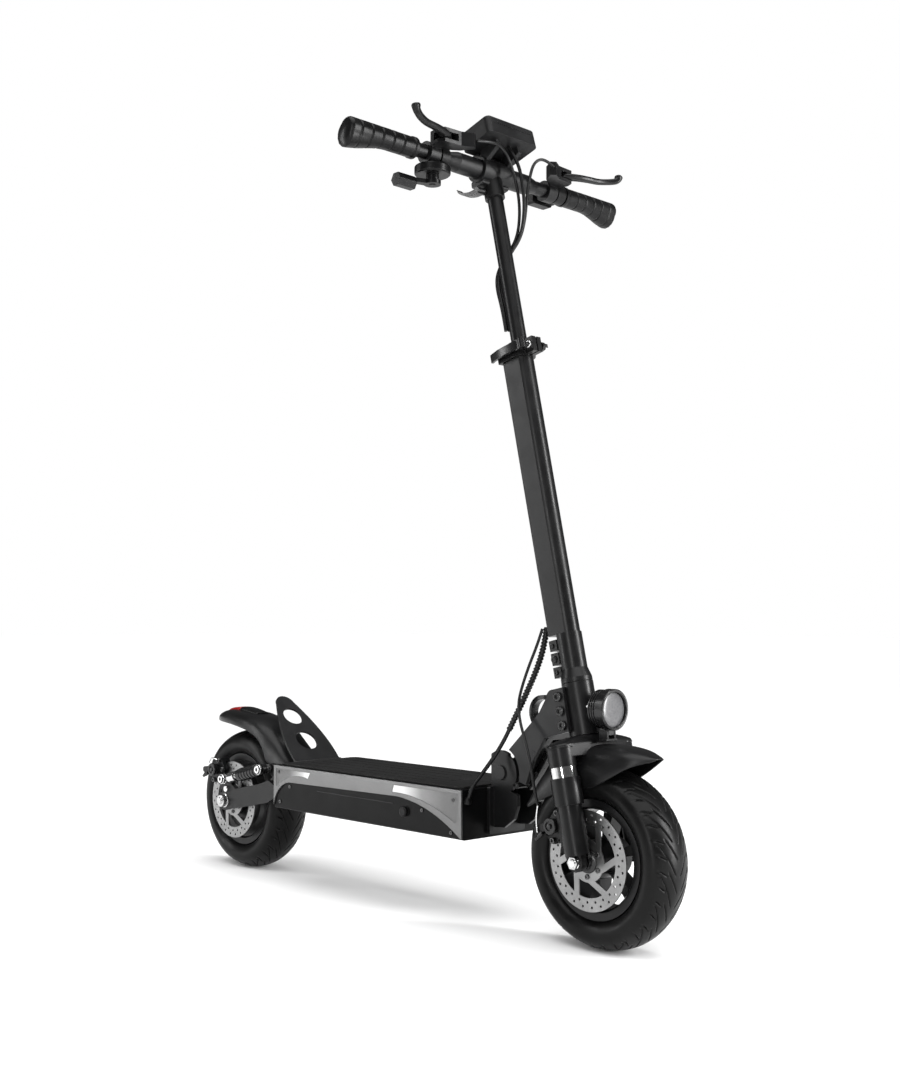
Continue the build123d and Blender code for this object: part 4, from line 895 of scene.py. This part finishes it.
display_tilt = radians(16)
display_ahead = Vector((cos(display_tilt), 0, sin(display_tilt)))
display_up = Vector((-sin(display_tilt), 0, cos(display_tilt)))
display_centre = Vector((0.216, 0, 1.225))


def on_display(ahead, side, up):
    return display_centre + display_ahead * ahead + Vector((0, side, 0)) + display_up * up


case_front = 0.0334
for index in range(19):
    turned(f"display_vent_{index:02d}", [(0, 0.0011), (0.0003, 0.0011), (0.00035, 0.0008), (0.0001, 0)],
           on_display(case_front, -0.040 + index * 0.0044, 0.0035), display_ahead, alloy_black, "mast",
           around=10)

# ---- collar clamp bolt
collar_height = 0.9000
socket_bolt("collar_bolt", on_stem(collar_height, 0.0280, -0.0100), right, 0.0056, 0.0045, "steering",
            chrome)
turned("collar_nut", [(0, 0.0066), (0.005, 0.0066), (0.006, 0.0056), (0.006, 0)],
       on_stem(collar_height, 0.0280, 0.0205), left, chrome, "steering", around=6)

# ---- side panel rib on the deck, one each side
for side_name, side in (("right", -1), ("left", 1)):
    ends = [(-0.125, 0.1742), (0.072, 0.1742), (0.072, 0.1756), (-0.125, 0.1756)]
    outer = [(x, side * 0.0900, z) for x, z in ends]
    inner = [(x, side * 0.0893, z) for x, z in ends]
    piece("panel_rib_" + side_name, outer + inner,
          [(0, 1, 2, 3), (4, 7, 6, 5), (0, 4, 5, 1), (1, 5, 6, 2), (2, 6, 7, 3), (3, 7, 4, 0)],
          case_black, "chassis", smooth=False)

# ======================================================================== cables

cable("bar_cable_right", [(0.255, -0.086, 1.193), (0.262, -0.060, 1.197), (0.252, -0.030, 1.199),
                          (0.240, 0.000, 1.190), (0.243, 0.014, 1.150), (0.246, 0.018, 1.110),
                          (0.240, 0.019, 1.070), (0.223, 0.016, 1.045), (0.212, 0.003, 1.018),
                          (0.217, -0.007, 0.990), (0.236, -0.011, 0.945), (0.243, -0.011, 0.912)],
      0.0024, smooth_cable, None, ["bar_cables"],
      ("steering", "mast", tuple(on_stem(0.93)), tuple(on_stem(1.13))))
cable("bar_cable_left", [(0.256, 0.086, 1.194), (0.252, 0.068, 1.205), (0.246, 0.050, 1.196),
                         (0.249, 0.036, 1.165), (0.252, 0.027, 1.130), (0.252, 0.023, 1.095),
                         (0.243, 0.022, 1.066), (0.226, 0.017, 1.044), (0.216, 0.007, 1.020),
                         (0.222, -0.003, 0.990), (0.240, -0.007, 0.945), (0.247, -0.007, 0.912)],
      0.0024, smooth_cable, None, (),
      ("steering", "mast", tuple(on_stem(0.93)), tuple(on_stem(1.13))))
cable("display_cable", [(0.232, 0.006, 1.212), (0.246, 0.012, 1.190), (0.252, 0.018, 1.150),
                        (0.254, 0.020, 1.110), (0.247, 0.020, 1.070), (0.230, 0.015, 1.047),
                        (0.217, 0.004, 1.020),
                        (0.221, -0.007, 0.990), (0.239, -0.012, 0.945), (0.245, -0.012, 0.912)],
      0.0028, smooth_cable, None, (),
      ("steering", "mast", tuple(on_stem(0.93)), tuple(on_stem(1.13))))

stem_exit = (0.3245, -0.0065, 0.452)
harness_top = [stem_exit, (0.3190, -0.0060, 0.424), (0.3060, -0.0090, 0.388), (0.2900, -0.0150, 0.352),
               (0.2775, -0.0235, 0.320), (0.2690, -0.0300, 0.298)]
harness_low = [(0.2690, -0.0300, 0.298), (0.2640, -0.0350, 0.283), (0.2500, -0.0430, 0.257),
               (0.2410, -0.0600, 0.2320), (0.2375, -0.0760, 0.2150), (0.2345, -0.0800, 0.2020),
               (0.2310, -0.0800, 0.1930)]
wrapped_cable("harness_wrap", harness_top, 0.0042, 0.0016, 0.0052, smooth_cable,
              ["main_harness"])
cable("harness_cable", harness_low, 0.0031, smooth_cable, None, (),
      ("chassis", "neck", (0.2400, -0.0620, 0.230), (0.2650, -0.0350, 0.285)))
turned("harness_gland", [(0, 0.0062), (0.004, 0.0062), (0.009, 0.0040)],
       (0.2300, -0.080, 0.1895), (0.25, 0, 1),
       plastic_black, "chassis")

brake_route = [(0.3235, -0.0150, 0.4500), (0.3160, -0.0170, 0.4280), (0.3045, -0.0240, 0.3950),
               (0.2960, -0.0310, 0.3620), (0.2950, -0.0370, 0.3400), (0.3030, -0.0430, 0.3180),
               (0.3180, -0.0500, 0.2950), (0.3330, -0.0560, 0.2720), (0.3450, -0.0605, 0.2450),
               (0.3520, -0.0625, 0.2180), (0.3590, -0.0630, 0.1980)]
cable("brake_cable_front", brake_route, 0.0022, smooth_cable, None, ["front_brake_cable"],
      ("steering", "fork_lower", (0.3330, -0.0560, 0.272), (0.3520, -0.0625, 0.214)))

# ======================================================================== floor and light


def add_stage():
    """Pale floor that runs far behind the object."""
    mesh = bpy.data.meshes.new("floor")
    size = 40.0
    corners = [(-size, -size, 0), (size, -size, 0), (size, size, 0), (-size, size, 0)]
    mesh.from_pydata(corners, [], [(0, 1, 2, 3)])
    floor = bpy.data.objects.new("floor", mesh)
    bpy.context.scene.collection.objects.link(floor)
    made = Shader("floor")
    made.colour(made.ramp(made.noise(2.0), [(0.3, tone(0.95)), (0.7, tone(0.97))]))
    made.set(Roughness=0.9, Specular_IOR_Level=0.1)
    mesh.materials.append(made.material)


def add_light(name, place, target, size, power):
    """Rectangular softbox aimed at a point."""
    data = bpy.data.lights.new(name, "AREA")
    data.shape = "RECTANGLE"
    data.size, data.size_y = size
    data.energy = power
    light = bpy.data.objects.new(name, data)
    bpy.context.scene.collection.objects.link(light)
    light.location = place
    aim = (Vector(target) - Vector(place)).normalized()
    light.rotation_euler = aim.to_track_quat("-Z", "Y").to_euler()


def add_world():
    """White backdrop for the camera, and dim even surroundings as a light source."""
    world = bpy.data.worlds.new("studio")
    bpy.context.scene.world = world
    world.use_nodes = True
    tree = world.node_tree
    room = tree.nodes["Background"]
    room.inputs["Color"].default_value = (1, 1, 1, 1)
    room.inputs["Strength"].default_value = 0.10
    backdrop = tree.nodes.new("ShaderNodeBackground")
    backdrop.inputs["Color"].default_value = (1, 1, 1, 1)
    seen = tree.nodes.new("ShaderNodeLightPath")
    mix = tree.nodes.new("ShaderNodeMixShader")
    tree.links.new(seen.outputs["Is Camera Ray"], mix.inputs[0])
    tree.links.new(room.outputs[0], mix.inputs[1])
    tree.links.new(backdrop.outputs[0], mix.inputs[2])
    tree.links.new(mix.outputs[0], tree.nodes["World Output"].inputs["Surface"])


def add_sky_light():
    """Very wide soft light from above, which evens out the floor."""
    data = bpy.data.lights.new("sky_light", "SUN")
    data.energy = 3.3
    data.angle = radians(70)
    light = bpy.data.objects.new("sky_light", data)
    bpy.context.scene.collection.objects.link(light)
    light.rotation_euler = (radians(12), radians(14), 0)


add_stage()
add_world()
add_sky_light()
add_light("left_strip", (-2.0, -1.9, 1.1), (0, 0, 0.5), (0.35, 2.2), 30)
add_light("right_strip", (2.6, 1.3, 1.1), (0.2, 0, 0.6), (0.35, 2.2), 110)
add_light("key_strip", (1.55, -2.55, 1.0), (0.2, 0, 0.5), (0.16, 1.8), 26)
bpy.context.scene.view_settings.view_transform = "Standard"
